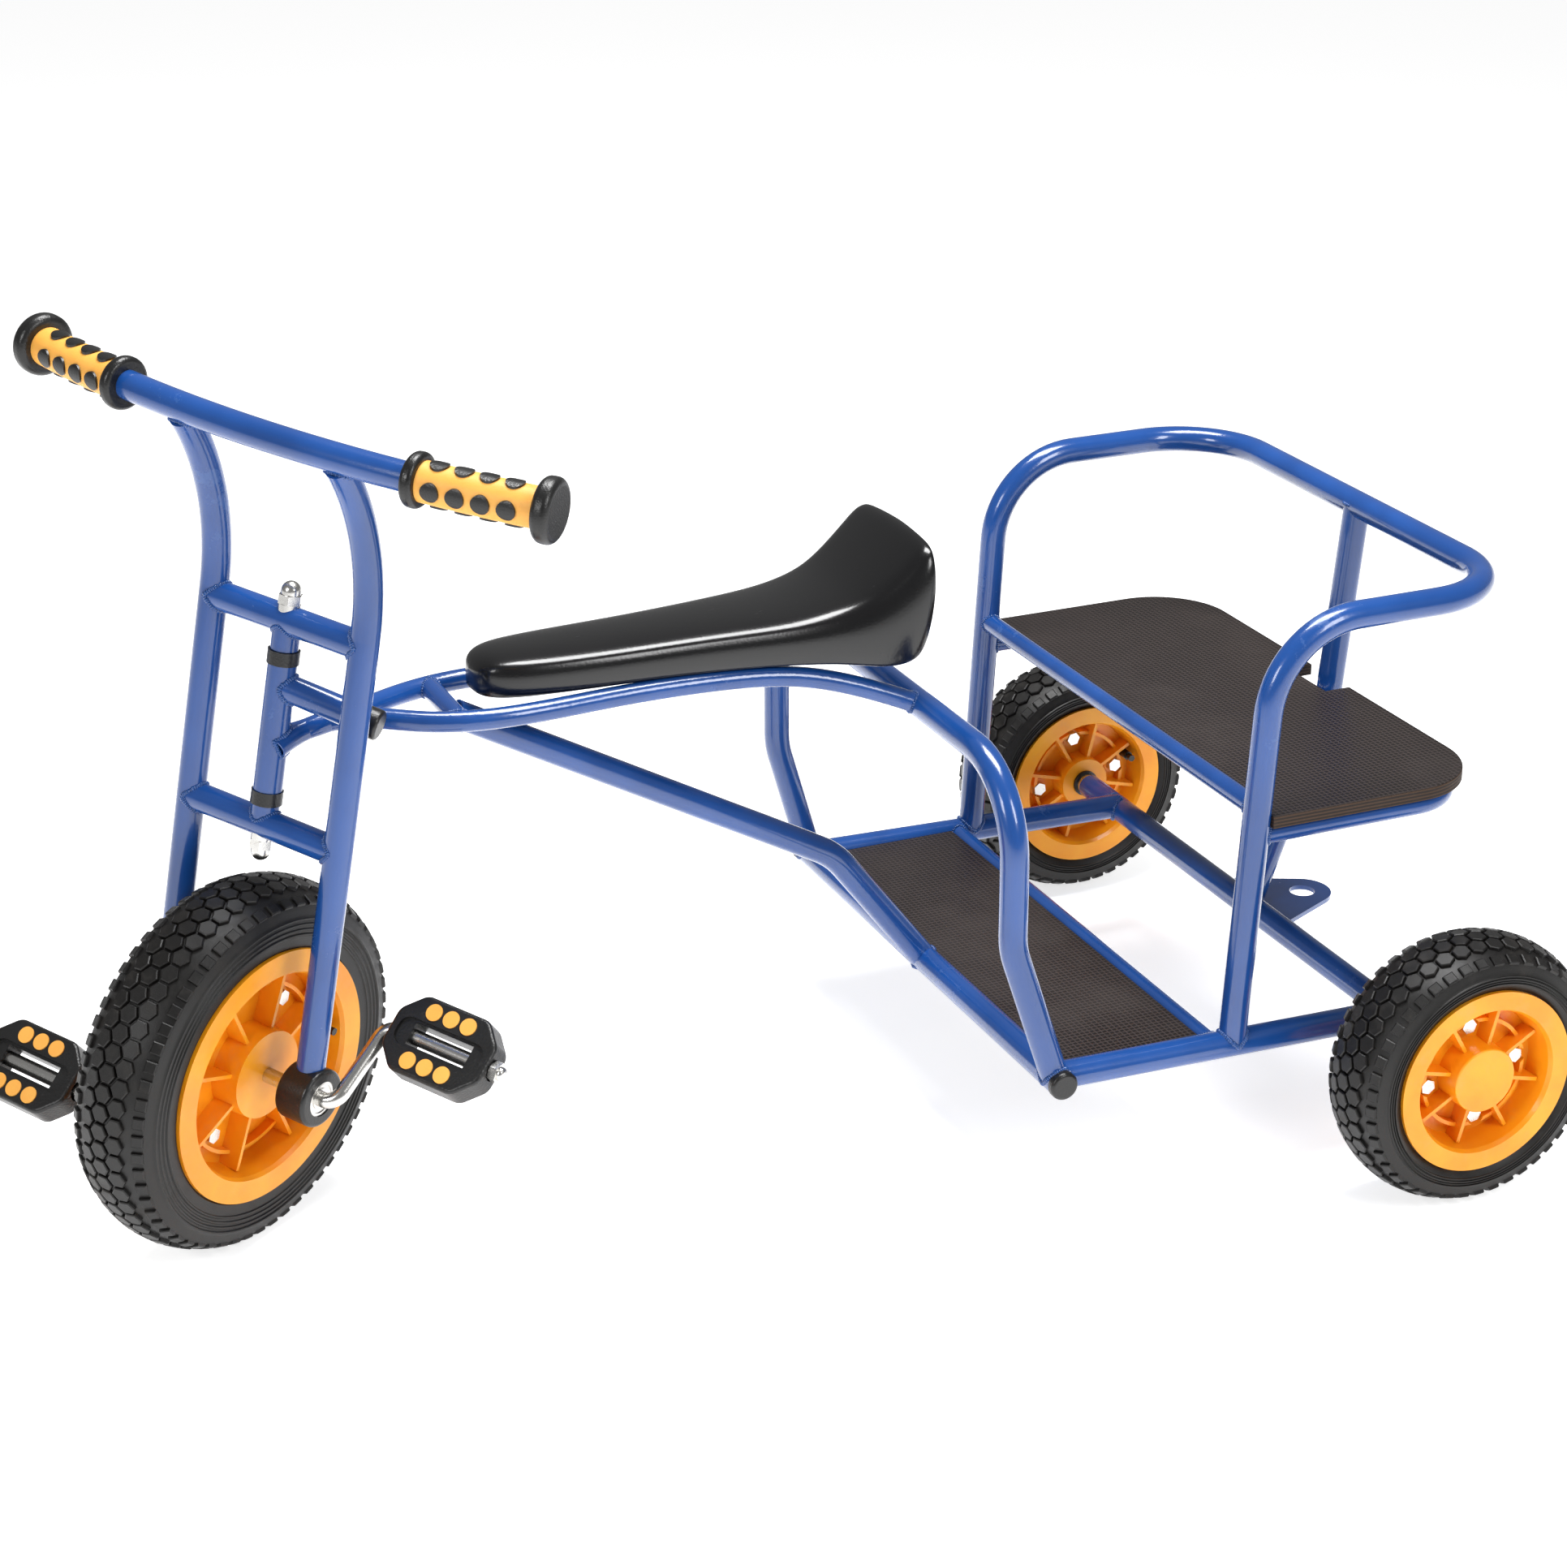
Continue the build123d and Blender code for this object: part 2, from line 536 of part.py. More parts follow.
stop_hollow = bar(stop_start, stop_tip, stop_core - 2 * TUBE_WALL)
parts["steering_stop"] = HEAD * (
    stop_stub - bar((0, 0, 300), (0, 0, 600), TUBE_DIAMETER) - stop_hollow)
bumper = bar(tuple(bumper_start), tuple(Vector(stop_tip) + stop_unit * 3.0), bumper_diameter)
bumper = fillet(bumper.edges().sort_by(Axis.Y)[-1], 2.5)
parts["stop_bumper"] = HEAD * (bumper - bar(stop_start, stop_tip, stop_core))


# saddle rails
def head_point(height):
    return head_foot_y + height * sin(rake), height * cos(rake)


rail_start_y, rail_start_z = head_point(405.5)


def saddle_rail_path(side):
    return Spline(
        (side * RAIL_FRONT_HALF, rail_start_y, rail_start_z),
        (side * (RAIL_FRONT_HALF + 1.0), rail_start_y + 72.0, RAIL_HEIGHT + 2.0),
        (side * (RAIL_HALF_SPACING - 9.0), RAIL_TIE_Y - 24.0, RAIL_HEIGHT + 0.5),
        (side * RAIL_HALF_SPACING, RAIL_TIE_Y + 2.0, RAIL_HEIGHT),
        (side * RAIL_HALF_SPACING, -600.0, RAIL_HEIGHT),
        (side * RAIL_HALF_SPACING, -500.0, RAIL_HEIGHT - 0.5),
        (side * (RAIL_HALF_SPACING + 4.0), -440.0, RAIL_HEIGHT - 6.0),
        (side * (RAIL_HALF_SPACING + 14.0), -384.0, RAIL_HEIGHT - 22.0),
        (side * (RAIL_HALF_SPACING + 22.0), HOOP_Y, HOOP_TOP))


saddle_rail_solids = {}
saddle_rails = []
for side in (1, -1):
    path = saddle_rail_path(side)
    saddle_rail_solids[side] = swept(path, THIN_TUBE_DIAMETER)
    saddle_rails.append(
        bent_tube(path, THIN_TUBE_DIAMETER, THIN_TUBE_WALL, (head_tube_solid, hoop_solid)))
parts["saddle_rails"] = Compound(saddle_rails)

tie_ends = ((-RAIL_HALF_SPACING, RAIL_TIE_Y, RAIL_HEIGHT), (RAIL_HALF_SPACING, RAIL_TIE_Y, RAIL_HEIGHT))
tie_solid = bar(*tie_ends, THIN_TUBE_DIAMETER)
parts["rail_tie"] = biggest(straight_tube(
    *tie_ends, THIN_TUBE_DIAMETER, THIN_TUBE_WALL, (saddle_rail_solids[1], saddle_rail_solids[-1])))

down_path = FilletPolyline(
    (0, DOWN_TUBE_TOP_Y, DOWN_TUBE_TOP_Z), (0, DOWN_TUBE_KNEE_Y, DOWN_TUBE_KNEE_Z),
    (0, CROSSBAR_Y, CROSSBAR_Z), radius=DOWN_TUBE_BEND)
parts["down_tube"] = biggest(bent_tube(down_path, TUBE_DIAMETER, TUBE_WALL, (crossbar_solid, tie_solid)))

# towing plate behind the axle beam
hitch_low = AXLE_BEAM_Z - HITCH_THICKNESS / 2
hitch_outline = make_hull(
    (Pos(0, HITCH_HOLE_REAR) * Circle(HITCH_TIP_RADIUS)).edges()
    + (Pos(0, 4.0) * Rectangle(2 * HITCH_BASE_HALF, 8.0)).edges())
hitch_plate = Pos(0, 0, hitch_low) * extrude(hitch_outline, amount=HITCH_THICKNESS)
hitch_plate = hitch_plate - Pos(0, HITCH_HOLE_REAR, AXLE_BEAM_Z) * Cylinder(
    HITCH_HOLE_DIAMETER / 2, 3 * HITCH_THICKNESS)
parts["hitch_plate"] = biggest(hitch_plate - beam_solid)

# bench back post
post_path = FilletPolyline(
    (0, BACK_RAIL_Y, ARM_HEIGHT), (0, POST_KNEE_Y, POST_KNEE_Z), (0, 4.0, AXLE_BEAM_Z + 6.0),
    radius=POST_BEND)
back_rail = bar((-80, BACK_RAIL_Y, ARM_HEIGHT), (80, BACK_RAIL_Y, ARM_HEIGHT), TUBE_DIAMETER)
seat_frame_back = bar((-80, SEAT_FRAME_REAR_Y, seat_frame_z), (80, SEAT_FRAME_REAR_Y, seat_frame_z),
                      THIN_TUBE_DIAMETER)
parts["back_post"] = bent_tube(post_path, TUBE_DIAMETER, TUBE_WALL,
                               (back_rail, beam_solid, parts["hitch_plate"], seat_frame_back))

# ---------------------------------------------------------------- saddle
tail_y = SADDLE_TAIL_Y
side_view = make_face(Curve() + [
    Line((SADDLE_FRONT_Y, RAIL_HEIGHT + 8.0), (SADDLE_FRONT_Y, SADDLE_TOP - 8.0)),
    Spline((SADDLE_FRONT_Y, SADDLE_TOP - 8.0), (-660, SADDLE_TOP - 1.0), (-600, SADDLE_TOP),
           (-520, SADDLE_TOP + 1.0), (-440, SADDLE_TOP + 4.0), (-400, SADDLE_TOP + 12.0),
           (-372, SADDLE_TOP + 29.0), (tail_y - 12, SADDLE_TAIL_TOP)),
    Line((tail_y - 12, SADDLE_TAIL_TOP), (tail_y, SADDLE_TAIL_TOP - 5.0)),
    Spline((tail_y, SADDLE_TAIL_TOP - 5.0), (tail_y - 1, 460), (tail_y - 12, 420), (tail_y - 32, 404)),
    Spline((tail_y - 32, 404), (-420, RAIL_HEIGHT + 4.5), (-480, RAIL_HEIGHT + 8.0)),
    Line((-480, RAIL_HEIGHT + 8.0), (SADDLE_FRONT_Y, RAIL_HEIGHT + 8.0)),
])
side_body = extrude(Plane.YZ * side_view, amount=SADDLE_TAIL_HALF + 20, both=True)
nose = SADDLE_NOSE_HALF
tail = SADDLE_TAIL_HALF
half_plan = [(nose, SADDLE_FRONT_Y + nose), (nose + 1, -560), (nose + 8, -480), (nose + 15, -432),
             (tail - 7, -395), (tail, -366), (tail - 2, tail_y)]
left_edge = Spline(*half_plan)
right_edge = Spline(*[(-x, y) for x, y in half_plan])
plan = make_face(Curve() + [
    left_edge, right_edge,
    ThreePointArc((nose, SADDLE_FRONT_Y + nose), (0, SADDLE_FRONT_Y), (-nose, SADDLE_FRONT_Y + nose)),
    Line((tail - 2, tail_y), (-tail + 2, tail_y)),
])
plan_body = Pos(0, 0, 380) * extrude(plan, amount=150)
saddle = biggest(side_body & plan_body)
for cutter in (hoop_solid, saddle_rail_solids[1], saddle_rail_solids[-1]):
    saddle = saddle - cutter
parts["saddle"] = biggest(saddle)

# ---------------------------------------------------------------- fork assembly, in steering axes
half = FORK_HALF_SPACING
leg_top_turn = 43.5
leg_end_y = -(LEG_BEND_RADIUS - LEG_BEND_RADIUS * cos(radians(leg_top_turn)))
leg_end_z = LEG_BEND_HEIGHT + LEG_BEND_RADIUS * sin(radians(leg_top_turn))
leg_mid_y = -(LEG_BEND_RADIUS - LEG_BEND_RADIUS * cos(radians(leg_top_turn / 2)))
leg_mid_z = LEG_BEND_HEIGHT + LEG_BEND_RADIUS * sin(radians(leg_top_turn / 2))
bar_end_left = (BAR_HALF_LENGTH, -BAR_FORWARD + BAR_SWEEP, BAR_HEIGHT + BAR_RISE)
bar_end_right = (-BAR_HALF_LENGTH, -BAR_FORWARD + BAR_SWEEP, BAR_HEIGHT + BAR_RISE)
bar_path = ThreePointArc(bar_end_right, (0, -BAR_FORWARD, BAR_HEIGHT), bar_end_left)
handlebar_solid = swept(bar_path, TUBE_DIAMETER)
parts["handlebar"] = FORK * (handlebar_solid - swept(bar_path, TUBE_DIAMETER - 2 * TUBE_WALL))

leg_paths = {}
leg_solids = {}
housing_solids = {}
for side in (1, -1):
    x = side * half
    leg_paths[side] = Wire([
        Edge.make_line((x, 0, AXLE_HEIGHT), (x, 0, LEG_BEND_HEIGHT)),
        Edge.make_three_point_arc((x, 0, LEG_BEND_HEIGHT), (x, leg_mid_y, leg_mid_z),
                                  (x, leg_end_y, leg_end_z))])
    leg_solids[side] = swept(leg_paths[side], TUBE_DIAMETER)
    housing_solids[side] = Pos(0, 0, AXLE_HEIGHT) * bar(
        (side * HOUSING_INNER, 0, 0), (side * HOUSING_OUTER, 0, 0), HOUSING_DIAMETER)
parts["fork_legs"] = FORK * Compound([
    bent_tube(leg_paths[side], TUBE_DIAMETER, TUBE_WALL, (handlebar_solid, housing_solids[side]))
    for side in (1, -1)])

both_legs = (leg_solids[1], leg_solids[-1])
upper_cross_ends = ((-half, 0, UPPER_CROSS_HEIGHT), (half, 0, UPPER_CROSS_HEIGHT))
lower_cross_ends = ((-half, 0, LOWER_CROSS_HEIGHT), (half, 0, LOWER_CROSS_HEIGHT))
upper_cross_solid = bar(*upper_cross_ends, TUBE_DIAMETER)
lower_cross_solid = bar(*lower_cross_ends, TUBE_DIAMETER)
upper_sleeve_low = HEAD_TUBE_TOP + HEAD_BUSH_HEIGHT + TURNING_GAP
lower_sleeve_high = HEAD_TUBE_BOTTOM - HEAD_BUSH_HEIGHT - TURNING_GAP
bolt_low = LOWER_CROSS_HEIGHT - TUBE_DIAMETER / 2
bolt_high = UPPER_CROSS_HEIGHT + TUBE_DIAMETER / 2
bolt_solid = bar((0, 0, bolt_low - 10), (0, 0, bolt_high + 10), HEAD_BOLT_DIAMETER)
parts["fork_cross_tubes"] = FORK * Compound([
    biggest(straight_tube(*ends, TUBE_DIAMETER, TUBE_WALL, both_legs) - bolt_solid)
    for ends in (upper_cross_ends, lower_cross_ends)])
sleeve_upper = bar((0, 0, upper_sleeve_low), (0, 0, UPPER_CROSS_HEIGHT), TUBE_DIAMETER - 1)
sleeve_lower = bar((0, 0, LOWER_CROSS_HEIGHT), (0, 0, lower_sleeve_high), TUBE_DIAMETER - 1)
parts["head_sleeves"] = FORK * Compound([
    biggest(sleeve_upper - upper_cross_solid - bolt_solid),
    biggest(sleeve_lower - lower_cross_solid - bolt_solid)])

washer_thickness = 1.5
nut_high = bolt_high + washer_thickness
nut_low = bolt_low - washer_thickness


def dome_nut(base, outward, across, hexagon, dome):
    """A hexagonal dome nut along Z."""
    origin = (0, 0, base)
    plane = Plane(origin=origin, z_dir=(0, 0, outward))
    body = extrude(plane * RegularPolygon(across / sqrt(3), 6), amount=hexagon)
    top = base + outward * hexagon
    radius = across / 2 - 0.5
    cap = Pos(0, 0, top + outward * (dome - radius)) * Sphere(radius)
    collar = bar((0, 0, top), (0, 0, top + outward * (dome - radius + 0.01)), 2 * radius)
    keep = Pos(0, 0, top + outward * 25.0) * Box(60, 60, 50)
    return body + (cap & keep) + collar


bolt_stem = bar((0, 0, nut_low - 5), (0, 0, nut_high + 5), HEAD_BOLT_DIAMETER)
steering_bolt = [bolt_stem]
for base, outward in ((bolt_high, 1), (bolt_low, -1)):
    outer_face = base + outward * washer_thickness
    washer = bar((0, 0, base - outward * 6.0), (0, 0, outer_face), 17.0)
    steering_bolt.append(biggest(washer - upper_cross_solid - lower_cross_solid - bolt_stem))
    steering_bolt.append(biggest(dome_nut(outer_face, outward, 16.0, 7.0, 10.0) - bolt_stem))
parts["steering_bolt_set"] = FORK * Compound(steering_bolt)

bearings = Part()
housings = Part()
for side in (1, -1):
    bearing_in = side * (HOUSING_OUTER - BEARING_WIDTH - 1.0)
    bearing_out = side * (HOUSING_OUTER - 1.0)
    outer_race = bar((bearing_in, 0, 0), (bearing_out, 0, 0), BEARING_DIAMETER)
    bore = bar((side * 40, 0, 0), (side * 100, 0, 0), AXLE_DIAMETER + 2 * RUNNING_FIT)
    shield_out = side * (HOUSING_OUTER - 1.8)
    groove = (bar((shield_out, 0, 0), (bearing_out, 0, 0), BEARING_DIAMETER - 5.0)
              - bar((shield_out, 0, 0), (bearing_out, 0, 0), AXLE_DIAMETER + 5.0))
    bearings = bearings + (outer_race - bore - groove)
    housing = bar((side * HOUSING_INNER, 0, 0), (side * HOUSING_OUTER, 0, 0), HOUSING_DIAMETER)
    housing = fillet(housing.edges().filter_by(GeomType.CIRCLE), 3.0)
    seat = bar((bearing_in, 0, 0), (side * HOUSING_OUTER, 0, 0), BEARING_DIAMETER)
    through = bar((side * 40, 0, 0), (side * 100, 0, 0), AXLE_DIAMETER + 4.0)
    housings = housings + (housing - seat - through)
parts["axle_housings"] = FORK * (Pos(0, 0, AXLE_HEIGHT) * housings)
parts["axle_bearings"] = FORK * (Pos(0, 0, AXLE_HEIGHT) * bearings)

# grips follow the handlebar's own arc
arc_length = bar_path.length
arc_share = 1.0 / arc_length


def bar_plane(distance, side):
    """Plane across the handlebar at a distance from its middle, facing the bar's end."""
    share = 0.5 + side * distance * arc_share
    tangent = bar_path % share
    return Plane(origin=bar_path @ share, x_dir=(0, 0, 1), z_dir=tangent * side)


half_arc = arc_length / 2
sleeve_start = GRIP_START + GRIP_RING_WIDTH
sleeve_end = half_arc - 10.0
sleeve_length = sleeve_end - sleeve_start
nub_stud = Rot(0, 90, 0) * Cylinder(NUB_DIAMETER / 2, 80)
nub_ring = Cylinder(GRIP_DIAMETER / 2 + NUB_HEIGHT, 60) - Cylinder(GRIP_DIAMETER / 2 - NUB_ROOT, 60)
nub = (nub_ring & nub_stud).solids().sort_by(Axis.X)[-1]
grip_sleeves = []
grip_ends = []
grip_nubs = []
for side in (1, -1):
    near = bar_plane(sleeve_start, side)
    far = bar_plane(sleeve_end, side)
    middle = bar_plane((sleeve_start + sleeve_end) / 2, side)
    sleeve_path = Edge.make_three_point_arc(near.origin, middle.origin, far.origin)
    sleeve = sweep(near * Circle(GRIP_DIAMETER / 2), path=sleeve_path)
    grip_sleeves.append(biggest(sleeve - handlebar_solid))
    ring_plane = bar_plane(GRIP_START, side)
    ring = extrude(ring_plane * Circle(GRIP_RING_DIAMETER / 2), amount=GRIP_RING_WIDTH)
    ring = fillet(ring.edges().filter_by(GeomType.CIRCLE), 4.0) - handlebar_solid - sleeve
    end_cap = extrude(far * Circle(GRIP_END_DIAMETER / 2), amount=GRIP_END_WIDTH)
    end_cap = fillet(end_cap.edges().filter_by(GeomType.CIRCLE), 5.5) - handlebar_solid - sleeve
    grip_ends += [biggest(ring), biggest(end_cap)]
    for row in range(NUB_ROWS):
        for k in range(NUBS_PER_ROW):
            station = bar_plane(sleeve_start + NUB_FIRST + NUB_PITCH * k, side)
            turn = side * (NUB_ROW_TURN_DEG + 360.0 / NUB_ROWS * row)
            grip_nubs.append(station.location * Rot(0, 0, turn) * nub)
parts["grip_sleeves"] = FORK * Compound(grip_sleeves)
parts["grip_ends"] = FORK * Compound(grip_ends)
parts["grip_nubs"] = FORK * Compound(grip_nubs)

# ---------------------------------------------------------------- front wheel, crank and pedals
WHEEL = FORK * Pos(0, 0, AXLE_HEIGHT)
axle_radius = AXLE_DIAMETER / 2
parts["front_tyre"] = WHEEL * tyre(FRONT)
front_half = rim_half(FRONT, FRONT_BOSS_RADIUS, axle_radius)
parts["front_rim_left"] = WHEEL * front_half
parts["front_rim_right"] = WHEEL * other_half(front_half)
parts["front_rim_bolts"] = WHEEL * rim_bolts(FRONT)
parts["front_valve"] = WHEEL * valve(FRONT, 1, 13.0)

# in the wheel's own axes the crank angle is measured from +Y (rearwards) towards +Z
crank_lean = 4.5
crank_points = [
    (-PEDAL_OFFSET - PEDAL_WIDTH / 2 - 5, -CRANK_RADIUS, 0), (-CRANK_STRAIGHT - crank_lean, -CRANK_RADIUS, 0),
    (-CRANK_STRAIGHT, 0, 0), (CRANK_STRAIGHT, 0, 0),
    (CRANK_STRAIGHT + crank_lean, CRANK_RADIUS, 0), (PEDAL_OFFSET + PEDAL_WIDTH / 2 + 5, CRANK_RADIUS, 0),
]
crank_path = FilletPolyline(*crank_points, radius=CRANK_BEND)
crank = swept(crank_path, AXLE_DIAMETER)
CRANK = WHEEL * Rot(CRANK_ANGLE_DEG, 0, 0)
parts["crank_axle"] = CRANK * crank


def pedal_body():
    """A rounded block pedal with a window each side of the middle that shows the spindle."""
    plan = Rectangle(PEDAL_WIDTH, PEDAL_LENGTH)
    plan = chamfer(plan.vertices(), 17.0)
    plan = fillet(plan.vertices(), 12.0)
    body = extrude(plan, amount=PEDAL_THICKNESS / 2, both=True)
    body = fillet(body.faces().sort_by(Axis.Z)[-1].edges(), 3.0)
    body = fillet(body.faces().sort_by(Axis.Z)[0].edges(), 3.0)
    window = Box(PEDAL_WIDTH - 38.0, 18.0, PEDAL_THICKNESS + 10)
    bore = bar((-80, 0, 0), (80, 0, 0), AXLE_DIAMETER + 2 * PEDAL_FIT)
    body = body - window
    hollow_plan = fillet(Rectangle(PEDAL_WIDTH - 14.0, 23.0).vertices(), 9.0)
    for face in (1, -1):
        low = PEDAL_THICKNESS / 2 - PEDAL_RECESS if face > 0 else -PEDAL_THICKNESS / 2
        body = body - Pos(0, 0, low) * extrude(hollow_plan, amount=PEDAL_RECESS)
    for side in (1, -1):
        body = body - bar((side * (PEDAL_WIDTH / 2 - PEDAL_BORE_DEPTH), 0, 0), (side * 60.0, 0, 0), PEDAL_COUNTERBORE)
    return body - bore


def pedal_dots():
    """Round inserts set flush into both faces, three in a row on each side of the window."""
    dots = Part()
    for column in (-1, 0, 1):
        for row in (-1, 1):
            spot = Pos(column * PEDAL_DOT_PITCH, row * PEDAL_ROW_OFFSET, 0)
            for face in (-1, 1):
                disc = Pos(0, 0, face * (PEDAL_THICKNESS / 2 - 0.6)) * Cylinder(PEDAL_DOT_DIAMETER / 2, 3.0)
                dots = dots + spot * disc
    return dots


pedal = pedal_body()
dots = pedal_dots()
pedal = pedal - dots
pedal_nuts = Part()
for side, name in ((1, "left"), (-1, "right")):
    spindle = CRANK * Pos(side * PEDAL_OFFSET, side * CRANK_RADIUS, 0)
    level = Rot(PEDAL_PITCH_DEG - CRANK_ANGLE_DEG, 0, 0)
    parts["pedal_" + name] = spindle * level * pedal
    parts["pedal_inserts_" + name] = spindle * level * dots
    washer_x = PEDAL_WIDTH / 2 - PEDAL_BORE_DEPTH + TURNING_GAP
    nut_x = PEDAL_WIDTH / 2 + 1.0
    washer = bar((washer_x, 0, 0), (nut_x, 0, 0), PEDAL_COUNTERBORE - 2.0)
    nut = hexagon_x(15.0, nut_x, nut_x + 6.0)
    knob = bar((nut_x + 6.0, 0, 0), (nut_x + 10.0, 0, 0), 11.0)
    knob = fillet(knob.edges().sort_by(Axis.X)[-1], 3.5)
    cap = washer + nut + knob - bar((0, 0, 0), (PEDAL_WIDTH / 2 + 5, 0, 0), AXLE_DIAMETER)
    if side < 0:
        cap = mirrored(cap)
    pedal_nuts = pedal_nuts + (spindle * cap)
parts["pedal_nuts"] = pedal_nuts

# ---------------------------------------------------------------- rear wheels and axles
hub_nut_x = REAR_RIM_WIDTH / 2 - 16.0
inner_half = rim_half(REAR, REAR_BOSS_RADIUS - 4.0, BUSH_DIAMETER / 2)
outer_half = rim_half(REAR, REAR_BOSS_RADIUS, BUSH_DIAMETER / 2)
pocket = ring_x(HUB_POCKET_RADIUS, 0, hub_nut_x - 2.0, REAR_RIM_WIDTH / 2)
outer_half = outer_half - pocket
inner_face = REAR_RIM_WIDTH / 2 - 5.0
bush_bore = AXLE_DIAMETER / 2 + RUNNING_FIT
bush_flange = 2.5
rear_axles = []
rear_spacers = []
rear_nuts = []
for side, name in ((1, "left"), (-1, "right")):
    place = Pos(side * REAR_TRACK / 2, 0, REAR_RADIUS)
    turn_out = (lambda shape: shape) if side > 0 else mirrored
    parts["rear_tyre_" + name] = place * turn_out(tyre(REAR))
    parts["rear_rim_outer_" + name] = place * turn_out(outer_half)
    parts["rear_rim_inner_" + name] = place * turn_out(other_half(inner_half))
    parts["rear_rim_bolts_" + name] = place * turn_out(rim_bolts(REAR))
    parts["rear_valve_" + name] = place * turn_out(valve(REAR, -1, 20.0))
    inner_bush = ring_x(BUSH_DIAMETER / 2, bush_bore, -inner_face, -1.0)
    inner_bush = inner_bush + ring_x(BUSH_DIAMETER / 2 + 3, bush_bore, -inner_face - bush_flange, -inner_face)
    outer_bush = ring_x(BUSH_DIAMETER / 2, bush_bore, 1.0, hub_nut_x - 2.0)
    parts["rear_bushes_" + name] = place * turn_out(inner_bush + outer_bush)
    cap_face = REAR_RIM_WIDTH / 2 - 5.0
    cap = ring_x(REAR_BOSS_RADIUS - 1.0, 0, cap_face, cap_face + 3.0)
    cap = fillet(cap.edges().sort_by(Axis.X)[-1], 1.5)
    spigot = ring_x(HUB_POCKET_RADIUS, HUB_POCKET_RADIUS - 2.0, cap_face - 4.0, cap_face)
    parts["hub_cap_" + name] = place * turn_out(cap + spigot)
    beam_end = BEAM_HALF_LENGTH - REAR_TRACK / 2
    plug_d = TUBE_DIAMETER - 2 * TUBE_WALL
    axle = bar((beam_end - AXLE_PLUG_LENGTH, 0, 0), (beam_end, 0, 0), plug_d)
    axle = axle + bar((beam_end, 0, 0), (hub_nut_x + HUB_NUT_WIDTH, 0, 0), AXLE_DIAMETER)
    rear_axles.append(place * turn_out(axle))
    shoulder = -inner_face - bush_flange - TURNING_GAP
    spacer = ring_x(BUSH_DIAMETER / 2 + 1.0, AXLE_DIAMETER / 2, beam_end, shoulder)
    nut = hexagon_x(19.0, hub_nut_x - 2.0 + TURNING_GAP, hub_nut_x + HUB_NUT_WIDTH)
    nut = nut - ring_x(AXLE_DIAMETER / 2, 0, -5, 60)
    rear_spacers.append(place * turn_out(spacer))
    rear_nuts.append(place * turn_out(nut))
parts["rear_stub_axles"] = Compound(rear_axles)
parts["rear_axle_spacers"] = Compound(rear_spacers)
parts["rear_axle_nuts"] = Compound(rear_nuts)

# ---------------------------------------------------------------- common origin and export
box = Compound(children=[Compound(shape.solids()) for shape in parts.values()]).bounding_box()
shift_y = -(box.min.Y + box.max.Y) / 2
origin_shift = Pos(0, shift_y, 0)
os.makedirs("parts", exist_ok=True)
for name, shape in parts.items():
    solids = (origin_shift * shape).solids()
    piece = solids[0] if len(solids) == 1 else Compound(solids)
    export_step(piece, f"parts/{name}.step")
    print(f"{name:24s} solids {len(solids):2d} volume {sum(s.volume for s in solids) / 1000:9.2f} cm3")
print("shift_y", shift_y, "overall", box.size)
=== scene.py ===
# %% [markdown]
# # A children's taxi tricycle
# A driver sits on the long black saddle and pedals the front wheel directly. Passengers sit on the
# bench between the rear wheels. The frame of bent steel tube, the boards and the rims come from the
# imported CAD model. This lesson gives them finishes, and adds what a drawing of plain shapes leaves
# out: tread, weld beads, and the soft shape of the moulded saddle.

import json
import math

import bmesh
import bpy
from mathutils import Matrix, Vector
from mathutils.bvhtree import BVHTree

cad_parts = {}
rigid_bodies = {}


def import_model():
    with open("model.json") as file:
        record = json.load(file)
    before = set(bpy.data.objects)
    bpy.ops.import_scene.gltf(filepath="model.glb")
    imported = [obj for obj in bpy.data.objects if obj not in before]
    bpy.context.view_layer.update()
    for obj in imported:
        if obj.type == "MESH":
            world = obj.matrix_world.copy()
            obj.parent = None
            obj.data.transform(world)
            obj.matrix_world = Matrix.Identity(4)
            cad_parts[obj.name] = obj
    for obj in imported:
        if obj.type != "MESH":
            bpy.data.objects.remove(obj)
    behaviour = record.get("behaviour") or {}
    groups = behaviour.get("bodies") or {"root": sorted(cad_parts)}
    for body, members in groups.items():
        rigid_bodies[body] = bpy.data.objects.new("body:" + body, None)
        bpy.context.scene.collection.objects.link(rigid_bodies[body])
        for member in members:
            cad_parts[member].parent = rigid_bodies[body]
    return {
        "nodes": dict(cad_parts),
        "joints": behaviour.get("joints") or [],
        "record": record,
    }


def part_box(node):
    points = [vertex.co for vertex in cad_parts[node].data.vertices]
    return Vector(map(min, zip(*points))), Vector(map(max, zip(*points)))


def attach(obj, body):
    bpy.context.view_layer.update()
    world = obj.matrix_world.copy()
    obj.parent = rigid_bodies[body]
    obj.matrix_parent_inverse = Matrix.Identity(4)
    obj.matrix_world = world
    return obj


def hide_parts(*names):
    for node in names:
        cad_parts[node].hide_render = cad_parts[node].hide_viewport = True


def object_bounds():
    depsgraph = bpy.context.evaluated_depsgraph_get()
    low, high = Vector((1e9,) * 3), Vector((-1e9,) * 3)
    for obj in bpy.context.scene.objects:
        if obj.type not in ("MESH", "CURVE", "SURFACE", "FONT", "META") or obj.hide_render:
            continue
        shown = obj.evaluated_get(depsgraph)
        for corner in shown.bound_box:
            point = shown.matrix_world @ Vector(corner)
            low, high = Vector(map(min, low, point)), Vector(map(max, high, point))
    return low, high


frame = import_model()
cad_low, cad_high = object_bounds()
NODES = frame["nodes"]
print("CAD box", [round(v, 4) for v in (*cad_low, *cad_high)])

